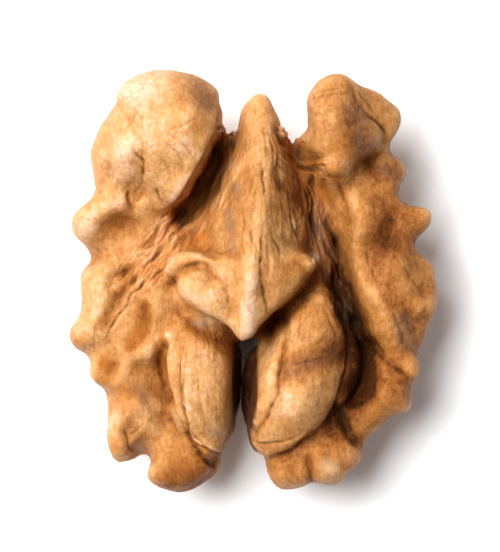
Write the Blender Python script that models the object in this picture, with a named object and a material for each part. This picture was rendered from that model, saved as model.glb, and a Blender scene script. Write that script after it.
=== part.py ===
"""Half of a shelled walnut kernel, lying on its rounded back with its inner face up.

The kernel is one grown piece, so it is one object. It is modelled as clay would be: rounded
lumps and winding folds are laid over a core, fused into one skin, slit between the two lower
lobes, smoothed, and cut flat where the kernel rests. Lengths in the lists are millimetres.
X runs across the kernel, Y along it towards the tip of the root, and Z up from the table.
"""

import math

import bmesh
import bpy
from mathutils import Matrix, Vector
from mathutils.kdtree import KDTree

MM = 0.001

# Driving sizes.
KERNEL_SIZE = (28.0, 31.7, 14.0)
BACK_HALF_WIDTH = 13.9
BACK_HALF_LENGTH = 15.9
RIM_HEIGHT = 8.6  # where the rounded back is widest
BACK_FULLNESS = 2.4  # 2 is an ellipsoid, and more is squarer
FOOT_CUT = 0.45  # how much of the lowest folds is pressed flat
ROOT_HEIGHT = 4.6  # every lump reaches down and inwards to the core at this height
ROOT_PULL = 0.78
ROOT_SHARE = 0.8

# How fine the clay is.
BALL_DETAIL = 2
STEP_ALONG_FOLD = 0.8
STEP_ALONG_PRESS = 0.2
VOXEL = 0.28
ROUND_OFF = 8
FUSE_ROUNDS = 4
TRIANGLES = 8000
WELD = 1e-7  # metres

SKIN_COLOUR = (0.62, 0.36, 0.15, 1.0)
SKIN_ROUGHNESS = 0.55

# The core: rounded lumps, each wrapped tightly round its balls, (x, y, z, radius).
CORE = {
    "left": [
        (-5.8, 9.8, 6.2, 2.4),
        (-9.0, 4.5, 6.0, 2.2),
        (-9.6, -3.0, 5.8, 2.2),
        (-7.4, -9.5, 5.8, 2.0),
        (-4.2, -10.8, 6.0, 2.0),
        (-4.2, -2.0, 4.6, 2.6),
        (-4.0, 5.0, 4.6, 2.6),
    ],
    "right": [
        (6.2, 9.4, 6.2, 2.2),
        (8.8, 4.5, 6.0, 2.2),
        (9.6, -2.5, 5.6, 1.9),
        (7.6, -9.0, 5.6, 1.9),
        (3.0, -10.8, 5.8, 2.0),
        (4.2, -2.0, 4.4, 2.4),
        (4.0, 5.0, 4.6, 2.6),
    ],
    "middle": [(0.0, 7.2, 5.8, 2.8), (0.0, 3.0, 4.6, 3.0), (0.0, -1.4, 5.4, 3.0)],
}

# Lumps of the inner face and the rim, (x, y, z, radius).
LUMPS = {
    "left_ear": [
        (-7.5, 13.0, 11.0, 2.85),
        (-5.4, 12.75, 10.7, 2.9),
        (-6.9, 11.2, 11.3, 2.9),
        (-5.3, 10.3, 10.9, 2.0),
        (-6.2, 8.2, 10.7, 1.8),
        (-8.6, 9.6, 10.5, 2.4),
    ],
    "left_ear_tip": [(-6.2, 8.4, 10.4, 1.8), (-6.7, 6.9, 9.4, 1.4)],
    "left_ear_side": [(-9.5, 11.0, 9.7, 2.2), (-9.4, 8.9, 9.4, 2.3)],
    "left_ear_bud": [(-10.9, 9.1, 8.4, 1.2), (-10.2, 12.4, 8.8, 1.1)],
    "left_ear_neck": [(-10.0, 7.0, 8.6, 1.3), (-8.2, 6.4, 8.4, 1.5)],
    "left_slab": [
        (-11.0, 0.5, 8.4, 0.95),
        (-12.1, 0.2, 7.4, 0.85),
        (-12.0, -2.4, 7.2, 0.95),
        (-11.4, -3.8, 8.4, 1.0),
        (-11.0, -1.5, 9.0, 1.05),
    ],
    "left_plain": [
        (-9.2, -0.8, 8.0, 1.4),
        (-6.8, 0.4, 7.4, 1.4),
        (-7.4, -3.4, 8.2, 1.4),
        (-9.9, -4.0, 8.0, 1.3),
        (-8.6, 1.6, 7.4, 1.4),
    ],
    "left_plain_inner": [(-6.2, -1.2, 7.4, 1.6), (-6.4, -3.4, 8.0, 1.4), (-4.4, -1.6, 7.0, 1.8)],
    "left_saddle": [(-10.0, 2.8, 7.4, 1.5), (-7.8, 2.2, 6.9, 1.4), (-7.0, 4.2, 6.2, 1.4)],
    "left_valley": [(-5.4, 2.8, 5.6, 1.6), (-3.6, 1.6, 6.4, 1.6), (-4.2, 6.5, 5.4, 1.6)],
    "left_web": [(-3.4, 9.6, 6.6, 1.2), (-0.9, 10.3, 7.2, 1.1), (-2.0, 7.0, 6.4, 1.5)],
    "thumb_shoulder": [
        (-5.8, -4.9, 8.8, 1.2),
        (-5.9, -6.4, 8.6, 1.1),
        (-5.2, -8.8, 8.4, 1.0),
        (-4.4, -5.6, 9.4, 1.7),
    ],
    "left_lower": [
        (-9.7, -9.4, 6.6, 1.3),
        (-9.6, -12.0, 5.7, 1.4),
        (-7.8, -11.8, 6.2, 1.2),
        (-8.2, -8.6, 6.9, 1.3),
    ],
    "bottom_left": [
        (-6.3, -12.2, 7.5, 1.3),
        (-6.1, -14.3, 6.6, 1.5),
        (-3.9, -14.0, 6.3, 1.55),
        (-4.6, -12.8, 7.0, 1.4),
    ],
    "right_ear": [
        (6.0, 13.5, 11.0, 2.15),
        (5.9, 11.8, 11.4, 2.05),
        (6.2, 9.6, 10.9, 1.7),
        (8.0, 10.9, 10.2, 1.5),
    ],
    "right_ear_tip": [(6.1, 9.6, 10.6, 1.6), (6.1, 8.2, 9.6, 1.1)],
    "right_ear_flap": [(8.1, 13.2, 9.7, 1.5), (9.85, 12.1, 9.2, 1.35), (9.2, 10.8, 9.2, 1.3)],
    "right_valley": [(5.2, 4.2, 5.6, 1.5), (5.9, 0.4, 5.4, 1.5), (4.2, 7.6, 6.0, 1.5)],
    "right_web": [(2.6, 9.2, 6.8, 1.1), (4.2, 8.6, 7.0, 1.3), (1.6, 6.6, 6.6, 1.5)],
    "right_neck": [(7.6, 7.6, 8.4, 1.4), (9.2, 8.6, 8.0, 1.3), (9.4, 6.4, 8.2, 1.3)],
    "right_upper": [
        (8.2, 6.0, 8.4, 1.1),
        (9.7, 5.6, 8.2, 1.3),
        (8.2, 3.2, 8.4, 1.1),
        (10.2, 3.2, 8.1, 1.4),
        (8.6, 1.2, 8.3, 1.2),
        (10.7, 1.6, 7.8, 1.4),
    ],
    "right_mass": [
        (10.2, 0.6, 8.4, 1.4),
        (9.3, -1.2, 8.4, 1.3),
        (12.2, 0.9, 7.4, 1.1),
        (12.55, -1.6, 6.9, 1.35),
        (10.9, -2.6, 8.6, 1.2),
        (11.5, -4.0, 7.6, 1.2),
        (10.2, -4.4, 8.2, 1.2),
    ],
    "right_lower": [
        (9.2, -5.8, 7.6, 1.2),
        (10.6, -6.8, 7.6, 1.2),
        (10.6, -8.8, 6.9, 1.2),
        (8.8, -8.8, 6.9, 1.4),
    ],
    "bottom_right": [
        (2.4, -14.0, 6.5, 1.7),
        (4.6, -13.3, 7.3, 1.4),
        (6.9, -13.0, 6.9, 1.45),
        (6.5, -11.2, 7.0, 1.5),
        (4.4, -12.0, 7.0, 1.4),
    ],
    "ridge": [
        (0.5, 13.0, 9.4, 1.1),
        (0.5, 10.0, 11.2, 1.1),
        (0.4, 5.0, 12.7, 0.9),
        (0.0, 0.0, 13.3, 0.9),
        (-1.5, 4.0, 8.5, 2.1),
        (2.2, 4.0, 8.5, 2.1),
        (0.4, 10.8, 7.2, 1.6),
    ],
    "heart": [
        (0.3, 1.5, 13.1, 0.9),
        (-0.6, -3.8, 12.2, 0.6),
        (-4.4, -0.7, 11.5, 1.2),
        (3.2, 0.4, 11.5, 1.0),
    ],
}

# Winding folds of the inner face and the rim: smooth tubes through (x, y, z, radius).
FOLDS = {
    "left_wing": [(-1.8, 0.4, 12.0, 1.5), (-3.8, 0.7, 11.8, 1.35), (-5.4, 0.8, 11.0, 1.25)],
    "right_wing": [(1.6, 0.4, 12.0, 1.4), (3.2, 0.8, 11.6, 1.1), (4.3, 1.5, 11.4, 0.6)],
    "left_thumb": [
        (-4.6, -3.2, 7.8, 1.9),
        (-3.9, -6.0, 9.2, 2.4),
        (-3.7, -9.0, 9.2, 2.2),
        (-3.4, -11.6, 8.2, 1.55),
    ],
    "right_leaf": [
        (4.4, -1.5, 8.6, 1.6),
        (4.3, -4.0, 9.4, 2.5),
        (3.8, -6.4, 9.1, 2.75),
        (3.0, -8.9, 9.3, 2.8),
        (2.2, -10.5, 9.1, 2.2),
        (1.05, -11.9, 8.2, 1.35),
    ],
    "right_leaf_under": [(5.8, -4.4, 7.2, 1.2), (6.6, -6.2, 7.4, 1.05), (6.0, -8.4, 7.0, 0.9)],
    "left_knob": [(-12.3, 4.2, 7.9, 1.5), (-11.3, 5.2, 8.2, 1.35), (-10.2, 6.4, 8.7, 1.4)],
    "left_crest": [(-9.9, 0.6, 8.3, 0.7), (-10.5, -1.2, 8.8, 0.75), (-11.3, -4.2, 8.7, 0.8)],
    "left_pea": [(-12.75, -4.25, 7.0, 1.3), (-11.4, -4.4, 6.6, 1.3)],
    "left_ledge": [(-11.2, -5.4, 7.6, 1.0), (-9.4, -5.3, 8.5, 1.0), (-7.4, -5.2, 8.8, 1.0)],
    "left_corner": [(-11.2, -5.4, 7.4, 1.0), (-11.2, -6.8, 7.0, 1.0)],
    "left_diagonal": [
        (-9.3, -6.8, 8.2, 1.0),
        (-9.0, -8.6, 8.3, 0.95),
        (-8.2, -10.2, 8.1, 0.95),
        (-7.2, -11.6, 7.8, 1.0),
    ],
    "left_toe": [(-10.0, -9.2, 6.7, 1.1), (-10.1, -11.0, 6.2, 1.05), (-9.9, -12.6, 5.6, 1.1)],
    "left_toe_side": [(-9.4, -11.4, 6.0, 1.0), (-8.5, -12.2, 5.7, 0.9)],
    "right_bump": [(8.8, 8.7, 8.7, 1.0), (10.35, 8.1, 8.2, 1.1)],
    "right_finger": [(10.2, 4.6, 8.5, 1.2), (12.2, 4.5, 8.0, 1.05)],
    "right_crest": [
        (7.9, 6.6, 8.8, 0.8),
        (8.2, 4.9, 9.2, 0.9),
        (7.8, 3.0, 8.9, 0.8),
        (7.8, 1.0, 8.8, 0.9),
        (8.5, -0.8, 8.9, 1.0),
        (9.4, -2.6, 8.9, 1.0),
        (10.4, -4.6, 8.3, 1.0),
    ],
    "right_edge_upper": [(11.2, -4.2, 7.2, 1.1), (11.9, -4.6, 6.6, 0.95)],
    "right_edge_lower": [(10.4, -6.4, 7.4, 1.1), (11.4, -6.7, 6.6, 1.05)],
    "right_heel": [(7.2, -9.8, 6.8, 1.3), (8.5, -10.7, 6.5, 1.2)],
    "bottom_right_a": [(6.9, -11.2, 7.0, 1.2), (6.95, -13.2, 6.4, 1.35)],
    "bottom_right_b": [(5.6, -12.4, 6.6, 1.1), (5.8, -14.2, 6.0, 1.35)],
    "bottom_right_c": [(2.6, -13.0, 6.6, 1.4), (2.4, -14.2, 5.8, 1.6)],
}

# Winding folds of the rounded back, each from the rim inwards, (x, y, radius).
BACK_FOLDS = {
    "left_1": [(-6.0, 13.4, 1.9), (-4.9, 11.2, 1.5), (-5.2, 9.3, 1.4), (-3.3, 8.6, 1.4), (-1.7, 7.4, 1.2)],
    "left_2": [
        (-9.2, 12.2, 1.6),
        (-8.0, 10.2, 1.6),
        (-7.9, 8.0, 1.5),
        (-5.6, 6.6, 1.5),
        (-4.0, 6.1, 1.3),
        (-1.9, 4.6, 1.3),
    ],
    "left_3": [
        (-11.0, 9.3, 1.4),
        (-10.6, 7.2, 1.4),
        (-9.2, 5.4, 1.5),
        (-6.8, 4.0, 1.5),
        (-5.0, 3.6, 1.4),
        (-3.4, 2.4, 1.3),
        (-1.6, 2.0, 1.2),
    ],
    "left_4": [
        (-12.2, 4.2, 1.4),
        (-11.0, 2.6, 1.4),
        (-9.0, 2.3, 1.5),
        (-7.2, 0.9, 1.5),
        (-5.0, 0.9, 1.4),
        (-3.0, -0.4, 1.3),
        (-1.5, -0.6, 1.2),
    ],
    "left_5": [
        (-12.0, 0.0, 1.3),
        (-10.8, -1.2, 1.4),
        (-8.8, -0.9, 1.4),
        (-7.0, -2.4, 1.5),
        (-5.0, -2.2, 1.4),
        (-3.2, -3.4, 1.4),
        (-1.9, -3.4, 1.2),
    ],
    "left_6": [
        (-12.4, -4.2, 1.3),
        (-10.6, -3.9, 1.4),
        (-9.0, -5.0, 1.5),
        (-7.0, -5.2, 1.5),
        (-5.2, -5.3, 1.3),
        (-3.2, -6.4, 1.4),
    ],
    "left_7": [(-11.2, -7.0, 1.2), (-9.4, -7.6, 1.4), (-7.6, -8.3, 1.5), (-5.4, -8.2, 1.4), (-3.4, -9.4, 1.5)],
    "left_8": [
        (-9.9, -12.0, 1.2),
        (-9.4, -10.4, 1.4),
        (-7.2, -11.2, 1.5),
        (-5.2, -11.0, 1.4),
        (-3.6, -12.2, 1.4),
    ],
    "left_9": [(-6.2, -14.2, 1.4), (-4.2, -13.9, 1.4)],
    "right_1": [(6.2, 13.3, 1.8), (5.1, 11.4, 1.5), (5.4, 9.4, 1.4), (3.6, 8.4, 1.4), (1.9, 7.2, 1.2)],
    "right_2": [
        (9.2, 12.2, 1.5),
        (8.6, 10.2, 1.4),
        (7.2, 8.6, 1.5),
        (6.6, 6.8, 1.4),
        (4.4, 5.8, 1.5),
        (2.2, 4.4, 1.3),
    ],
    "right_3": [
        (10.3, 8.2, 1.2),
        (9.8, 6.6, 1.4),
        (8.0, 5.2, 1.5),
        (6.6, 3.6, 1.5),
        (4.4, 3.0, 1.4),
        (2.0, 1.6, 1.3),
    ],
    "right_4": [
        (12.2, 4.5, 1.1),
        (10.6, 3.6, 1.4),
        (9.2, 2.0, 1.5),
        (6.8, 1.2, 1.5),
        (5.0, 0.0, 1.4),
        (3.2, -0.2, 1.3),
        (1.6, -1.2, 1.2),
    ],
    "right_5": [
        (12.4, 0.4, 1.3),
        (10.8, 0.2, 1.4),
        (9.0, -1.2, 1.5),
        (7.0, -1.4, 1.4),
        (5.2, -2.8, 1.5),
        (3.2, -3.0, 1.3),
        (1.8, -4.0, 1.2),
    ],
    "right_6": [
        (12.5, -2.0, 1.3),
        (11.0, -3.2, 1.5),
        (9.0, -3.9, 1.5),
        (7.0, -4.2, 1.4),
        (5.2, -5.6, 1.5),
        (3.4, -5.8, 1.4),
        (2.2, -6.8, 1.2),
    ],
    "right_7": [(11.4, -6.7, 1.2), (9.6, -6.7, 1.5), (7.6, -7.2, 1.4), (5.8, -8.4, 1.5), (3.6, -8.8, 1.5)],
    "right_8": [(10.2, -9.0, 1.2), (8.6, -9.8, 1.5), (6.8, -10.4, 1.5), (4.8, -11.4, 1.5), (2.8, -11.6, 1.4)],
    "right_9": [(6.8, -13.2, 1.3), (4.6, -13.8, 1.4), (2.6, -14.0, 1.5)],
}

# The slit between the lower lobes: (x of its left wall, x of its right wall, y).
SLIT = [(-1.3, 0.2, -5.7), (-1.35, 0.0, -9.0), (-1.7, -0.45, -11.8), (-2.6, 0.9, -17.0)]

# How far a press reaches, the way it moves the clay, and the path it follows, all in millimetres
# seen from above. A press straight down moves only the inner face.
PRESSES = {
    "left_valley": (1.5, (0, 0, -1.8), [(-2.2, 10.6), (-2.6, 9.6), (-3.5, 8.0), (-4.3, 6.4), (-5.3, 5.1)]),
    "left_valley_floor": (1.2, (0, 0, -2.4), [(-2.7, 9.4), (-3.5, 7.8), (-4.3, 6.3), (-5.6, 4.9)]),
    "left_valley_end": (1.6, (0, 0, -1.0), [(-5.6, 4.6), (-4.4, 4.0), (-4.2, 2.8)]),
    "right_web": (1.0, (0, 0, -0.5), [(3.0, 9.8), (3.7, 8.6)]),
    "right_valley": (1.4, (0, 0, -1.2), [(4.9, 6.0), (5.4, 4.0), (5.9, 2.0), (6.4, 0.0)]),
    "right_valley_floor": (1.3, (0, 0, -2.2), [(6.0, 2.6), (6.3, 0.8), (6.8, -1.6), (7.4, -3.4), (8.2, -5.2)]),
    "right_valley_end": (1.4, (0, 0, -2.0), [(7.6, -3.8), (8.2, -5.4), (8.2, -7.2), (7.4, -8.8)]),
    "under_heart_left": (0.8, (0, 0, -1.0), [(-5.2, -2.8), (-4.2, -3.5), (-3.0, -4.1), (-1.6, -4.8)]),
    "under_heart_thumb": (0.8, (0, 0, -1.0), [(-3.8, -3.9), (-2.9, -4.5), (-2.0, -5.0)]),
    "under_heart_right": (0.8, (0, 0, -1.4), [(0.6, -4.2), (1.6, -3.3), (2.6, -2.4), (3.6, -1.3), (4.6, 0.2)]),
    "leaf_under_layer": (0.7, (0, 0, 1.2), [(6.9, -4.0), (7.3, -5.4), (7.3, -6.8), (6.8, -8.0), (6.2, -8.8)]),
    "left_ear_outline": (1.8, (0.6, -0.1, 0), [(-11.6, 12.9)]),
    "left_ear_corner": (1.6, (0.55, 0.0, 0), [(-3.3, 14.2)]),
    "left_ear_inner_side": (2.2, (0, 0, 0.8), [(-4.6, 12.6), (-5.0, 10.4)]),
    "left_knob_neck": (1.3, (0, 0, 0.7), [(-11.4, 5.2), (-9.8, 5.4)]),
    "left_plain": (1.7, (0, 0, 0.8), [(-7.4, -0.4), (-6.9, -2.0)]),
    "toe": (1.7, (0, -0.7, 0), [(-9.9, -13.0)]),
    "root_tip_left": (1.5, (-0.35, 0.1, 0), [(-1.0, 12.9)]),
    "root_tip": (1.2, (0, 0.3, 0), [(0.6, 14.0)]),
    "right_ear_edge": (1.6, (0.6, 0.1, 0), [(3.2, 11.8)]),
    "right_bump_hollow": (1.1, (0, 0, -0.7), [(8.9, 8.5)]),
    "right_bump_foot": (1.0, (-0.4, 0, 0), [(11.4, 6.8)]),
    "right_hump": (1.4, (0, 0, 0.6), [(8.3, 4.8), (8.1, 3.8)]),
    "right_hump_hollow": (1.0, (0, 0, -0.9), [(9.9, 4.4), (9.8, 2.6)]),
    "right_shelf": (1.6, (0, 0, 0.4), [(10.6, 1.0)]),
    "right_finger": (1.2, (0.25, 0.1, 0), [(12.9, 4.7)]),
    "right_corner": (1.3, (0.5, -0.3, 0), [(11.1, -9.7)]),
    "bottom_left": (1.6, (-0.5, -0.3, 0), [(-7.4, -14.6)]),
    "bottom_left_low": (1.8, (0, -0.45, 0), [(-5.4, -15.7)]),
    "bottom_right_lobes": (1.8, (0, -0.4, 0), [(2.4, -15.3), (5.8, -15.1)]),
    "heart_tip": (1.2, (-0.25, -0.6, 0), [(-0.6, -4.2)]),
    "slit_right_wall": (1.3, (-0.4, 0, 0), [(0.6, -5.6), (0.3, -8.0), (0.1, -10.5), (0.1, -12.3)]),
    "slit_left_wall": (1.2, (-0.25, 0, 0), [(-1.1, -5.6), (-1.2, -8.0)]),
}


def on_back(x, y, radius):
    """The height at which a ball at (x, y) touches the rounded back from inside."""
    reach = math.hypot(x / (BACK_HALF_WIDTH - radius), y / (BACK_HALF_LENGTH - radius))
    rise = (1 - min(reach, 1.0) ** BACK_FULLNESS) ** (1 / BACK_FULLNESS)
    return RIM_HEIGHT - (RIM_HEIGHT - radius) * rise


def smooth_path(points, step=STEP_ALONG_FOLD):
    """Points every step or so along a smooth curve through the given ones."""
    if len(points) == 1:
        return points
    ends = [2 * points[0] - points[1], *points, 2 * points[-1] - points[-2]]
    path = [points[0]]
    for before, start, end, after in zip(ends, ends[1:], ends[2:], ends[3:]):
        steps = max(1, math.ceil((end - start).length / step))
        for t in (i / steps for i in range(1, steps + 1)):
            straight = 2 * start + (end - before) * t
            bend = (2 * before - 5 * start + 4 * end - after) * t**2
            twist = (3 * start - before - 3 * end + after) * t**3
            path.append((straight + bend + twist) / 2)
    return path


def with_roots(balls):
    """The balls and, under each, a smaller one nearer the middle of the core."""
    roots = [(x * ROOT_PULL, y * ROOT_PULL, min(z, ROOT_HEIGHT), r * ROOT_SHARE) for x, y, z, r in balls]
    return [*balls, *roots]


def add_lump(clay, balls):
    """Adds the rounded solid that wraps tightly round some balls."""
    piece = bmesh.new()
    for x, y, z, radius in balls:
        place = Matrix.Translation((x, y, z))
        bmesh.ops.create_icosphere(piece, subdivisions=BALL_DETAIL, radius=radius, matrix=place)
    bmesh.ops.delete(piece, geom=piece.edges[:] + piece.faces[:], context="EDGES_FACES")
    bmesh.ops.convex_hull(piece, input=piece.verts)
    inside = [v for v in piece.verts if not v.link_faces]
    bmesh.ops.delete(piece, geom=inside, context="VERTS")
    mesh = bpy.data.meshes.new("lump")
    piece.to_mesh(mesh)
    piece.free()
    clay.from_mesh(mesh)
    bpy.data.meshes.remove(mesh)


def add_fold(clay, balls, rooted):
    path = [tuple(p) for p in smooth_path([Vector(ball) for ball in balls])]
    for pair in zip(path, path[1:]):
        add_lump(clay, with_roots(pair) if rooted else pair)


def lay_clay():
    clay = bmesh.new()
    for balls in CORE.values():
        add_lump(clay, balls)
    for balls in LUMPS.values():
        add_lump(clay, with_roots(balls))
    for balls in FOLDS.values():
        add_fold(clay, balls, rooted=True)
    for points in BACK_FOLDS.values():
        add_fold(clay, [(x, y, on_back(x, y, r), r) for x, y, r in points], rooted=False)
    return clay


def new_object(name, bm):
    bmesh.ops.scale(bm, vec=(MM, MM, MM), verts=bm.verts)
    bmesh.ops.recalc_face_normals(bm, faces=bm.faces)
    mesh = bpy.data.meshes.new(name)
    bm.to_mesh(mesh)
    bm.free()
    obj = bpy.data.objects.new(name, mesh)
    bpy.context.scene.collection.objects.link(obj)
    return obj


def make_slit_cutter():
    """A tall slab with a rounded end, as wide as the slit all the way down."""
    bm = bmesh.new()
    top, bottom = 20.0, -5.0
    left = [Vector((a, y, bottom)) for a, b, y in SLIT]
    right = [Vector((b, y, bottom)) for a, b, y in SLIT]
    a, b, y = SLIT[0]
    middle, radius = (a + b) / 2, (b - a) / 2
    turns = [math.pi * i / 8 for i in range(1, 8)]
    cap = [Vector((middle + radius * math.cos(t), y + radius * math.sin(t), bottom)) for t in turns]
    outline = [bm.verts.new(p) for p in [*reversed(right), *cap, *left]]
    base = bm.faces.new(outline)
    grown = bmesh.ops.extrude_face_region(bm, geom=[base])
    lifted = [e for e in grown["geom"] if isinstance(e, bmesh.types.BMVert)]
    bmesh.ops.translate(bm, vec=(0, 0, top - bottom), verts=lifted)
    cutter = new_object("slit_cutter", bm)
    cutter.hide_render = True
    cutter.display_type = "WIRE"
    return cutter


def add_modifier(obj, kind, **settings):
    modifier = obj.modifiers.new(kind.title(), kind)
    for name, value in settings.items():
        setattr(modifier, name, value)
    return modifier


def evaluated(obj):
    """A mesh of the object with its modifiers applied."""
    graph = bpy.context.evaluated_depsgraph_get()
    return bpy.data.meshes.new_from_object(obj.evaluated_get(graph), depsgraph=graph)


def press(mesh, reach, move, path):
    """Moves the clay near a path by a vector, less and less towards the end of its reach."""
    curve = smooth_path([Vector((*point, 0)) for point in path], STEP_ALONG_PRESS)
    nearest = KDTree(len(curve))
    for i, point in enumerate(curve):
        nearest.insert(point, i)
    nearest.balance()
    straight_down = move[0] == move[1] == 0
    for vertex in mesh.vertices:
        seen_from_above = Vector((vertex.co.x, vertex.co.y, 0)) / MM
        _, _, distance = nearest.find(seen_from_above)
        if distance < reach:
            share = (1 - (distance / reach) ** 2) ** 2
            if straight_down:
                share *= max(0, min(1, vertex.normal.z * 3 + 1))
            vertex.co += Vector(move) * share * MM
    mesh.update()


def rest_on_table(bm):
    """Presses the lowest folds flat."""
    foot = min(v.co.z for v in bm.verts) + FOOT_CUT * MM
    whole = bm.verts[:] + bm.edges[:] + bm.faces[:]
    plane = {"plane_co": (0, 0, foot), "plane_no": (0, 0, -1)}
    cut = bmesh.ops.bisect_plane(bm, geom=whole, dist=WELD, clear_outer=True, **plane)
    rim = [e for e in cut["geom_cut"] if isinstance(e, bmesh.types.BMEdge)]
    bmesh.ops.holes_fill(bm, edges=rim)
    bmesh.ops.triangulate(bm, faces=bm.faces)


def fit_to_size(bm):
    """Gives the kernel its exact size, with the middle of its foot at the origin."""
    low = Vector([min(v.co[i] for v in bm.verts) for i in range(3)])
    high = Vector([max(v.co[i] for v in bm.verts) for i in range(3)])
    under = Vector(((low.x + high.x) / 2, (low.y + high.y) / 2, low.z))
    bmesh.ops.translate(bm, vec=-under, verts=bm.verts)
    stretch = [size * MM / side for size, side in zip(KERNEL_SIZE, high - low)]
    bmesh.ops.scale(bm, vec=stretch, verts=bm.verts)


def make_skin():
    skin = bpy.data.materials.new("kernel_skin")
    skin.use_nodes = True
    shader = skin.node_tree.nodes["Principled BSDF"]
    shader.inputs["Base Color"].default_value = SKIN_COLOUR
    shader.inputs["Roughness"].default_value = SKIN_ROUGHNESS
    return skin


def make_kernel():
    clay = new_object("clay", lay_clay())
    cutter = make_slit_cutter()
    remesh = {"mode": "VOXEL", "voxel_size": VOXEL * MM}
    add_modifier(clay, "REMESH", **remesh)
    add_modifier(clay, "SMOOTH", factor=0.5, iterations=ROUND_OFF)
    add_modifier(clay, "BOOLEAN", operation="DIFFERENCE", object=cutter)
    add_modifier(clay, "REMESH", **remesh)
    add_modifier(clay, "SMOOTH", factor=0.5, iterations=FUSE_ROUNDS)
    pressed = bpy.data.objects.new("pressed_clay", evaluated(clay))
    bpy.context.scene.collection.objects.link(pressed)
    for reach, move, path in PRESSES.values():
        press(pressed.data, reach, move, path)
    add_modifier(pressed, "REMESH", **remesh)
    add_modifier(pressed, "SMOOTH", factor=0.5, iterations=FUSE_ROUNDS)
    quads = len(evaluated(pressed).polygons)
    add_modifier(pressed, "DECIMATE", ratio=TRIANGLES / (2 * quads))
    kernel = bpy.data.objects.new("walnut_kernel_half", evaluated(pressed))
    bpy.context.scene.collection.objects.link(kernel)
    for guide in (clay, pressed, cutter):
        bpy.data.objects.remove(guide)

    bm = bmesh.new()
    bm.from_mesh(kernel.data)
    rest_on_table(bm)
    fit_to_size(bm)
    bm.to_mesh(kernel.data)
    bm.free()
    kernel.data.materials.append(make_skin())
    kernel.data.shade_smooth()
    return kernel


def main():
    for obj in list(bpy.data.objects):
        bpy.data.objects.remove(obj)
    make_kernel()


main()
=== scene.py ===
# %% [markdown]
# # Half a walnut kernel
#
# A walnut kernel half is one grown piece: a lobed seed leaf, folded like a brain to fill its
# shell, with a pointed root in the middle and a papery skin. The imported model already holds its
# lobes at their real size. This lesson takes a copy of that model, refines it, carves the folds,
# clefts, cracks and fibres of a real kernel into it, and then stains the skin.

import math

import bmesh
import bpy
import numpy as np
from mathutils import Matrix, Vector, noise


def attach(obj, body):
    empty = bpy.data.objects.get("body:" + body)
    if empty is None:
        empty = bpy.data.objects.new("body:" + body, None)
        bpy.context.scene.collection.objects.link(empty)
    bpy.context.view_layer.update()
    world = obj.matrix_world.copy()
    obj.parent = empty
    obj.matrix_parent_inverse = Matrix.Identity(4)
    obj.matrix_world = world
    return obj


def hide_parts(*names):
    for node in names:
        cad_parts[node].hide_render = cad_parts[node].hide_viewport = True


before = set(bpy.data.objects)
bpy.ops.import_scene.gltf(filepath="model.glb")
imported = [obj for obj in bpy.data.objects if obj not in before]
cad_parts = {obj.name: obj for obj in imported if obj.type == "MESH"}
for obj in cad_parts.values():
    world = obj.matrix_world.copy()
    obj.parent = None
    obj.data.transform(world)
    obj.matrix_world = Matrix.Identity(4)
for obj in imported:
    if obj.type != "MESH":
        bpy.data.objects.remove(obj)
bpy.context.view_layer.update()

# %% [markdown]
# The camera and the light come first, because a carved surface can only be judged in the light
# it will be seen in. The camera looks straight down at the inner face from half a metre, so
# that the tall root isn't drawn larger than the rim.

# %% Camera
MM = 0.001
VIEW_WIDTH = 37.5 * MM
VIEW_CENTRE = Vector((-0.26, 0.41, 9.0)) * MM
CAMERA_HEIGHT = 0.5
SENSOR = 36.0

scene = bpy.context.scene
lens = bpy.data.cameras.new("camera")
lens.sensor_fit = "HORIZONTAL"
lens.sensor_width = SENSOR
lens.lens = SENSOR * CAMERA_HEIGHT / VIEW_WIDTH
lens.clip_start = 0.01
camera = bpy.data.objects.new("camera", lens)
camera.location = VIEW_CENTRE + Vector((0, 0, CAMERA_HEIGHT))
scene.collection.objects.link(camera)
scene.camera = camera
print("lens, mm:", round(lens.lens, 1))

# %% [markdown]
# Colours are written as the hex codes that a paint program shows. Shaders work in linear light,
# so one function turns a code into linear red, green and blue. Another adds a shader node.


# %% Colours and nodes
def linear(code):
    channels = [int(code[i : i + 2], 16) / 255 for i in (1, 3, 5)]
    return (*(c / 12.92 if c <= 0.04045 else ((c + 0.055) / 1.055) ** 2.4 for c in channels), 1.0)


def add_node(tree, kind, settings=None, inputs=None):
    """Adds a node, sets its options, and fills or links its inputs."""
    node = tree.nodes.new(kind)
    for name, value in (settings or {}).items():
        setattr(node, name, value)
    for name, value in (inputs or {}).items():
        if isinstance(value, bpy.types.NodeSocket):
            tree.links.new(value, node.inputs[name])
        else:
            node.inputs[name].default_value = value
    return node


print("middle grey in linear light:", round(linear("#808080")[0], 3))

# %% [markdown]
# Most of the light comes from one wide softbox high up on the left. Three white cards around the
# table fill the shade: a card that bounces light is built as a large, weak area light. The room
# adds a little bluish daylight. No lamp hangs straight overhead, so the slit stays dark.

# %% Lights
ROOM_STRENGTH = 0.13
ROOM_COLOUR = (0.84, 0.91, 1.0, 1.0)
LIGHTS = {
    # name: watts, side of the square in metres, distance, direction to it from the kernel
    "softbox": (7.9, 0.40, 0.6, (-0.42, 0.23, 0.88)),
    "left card": (0.5, 0.7, 0.8, (-0.84, 0.0, 0.54)),
    "right card": (0.7, 0.7, 0.8, (0.84, 0.0, 0.54)),
    "far card": (0.8, 0.7, 0.8, (0.0, 0.84, 0.54)),
}

scene.view_settings.view_transform = "Standard"
for name, (watts, side, distance, direction) in LIGHTS.items():
    light = bpy.data.lights.new(name, "AREA")
    light.shape = "SQUARE"
    light.size = side
    light.energy = watts
    holder = bpy.data.objects.new(name, light)
    towards = Vector(direction).normalized()
    holder.location = towards * distance
    holder.rotation_euler = towards.to_track_quat("Z", "Y").to_euler()
    scene.collection.objects.link(holder)

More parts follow.
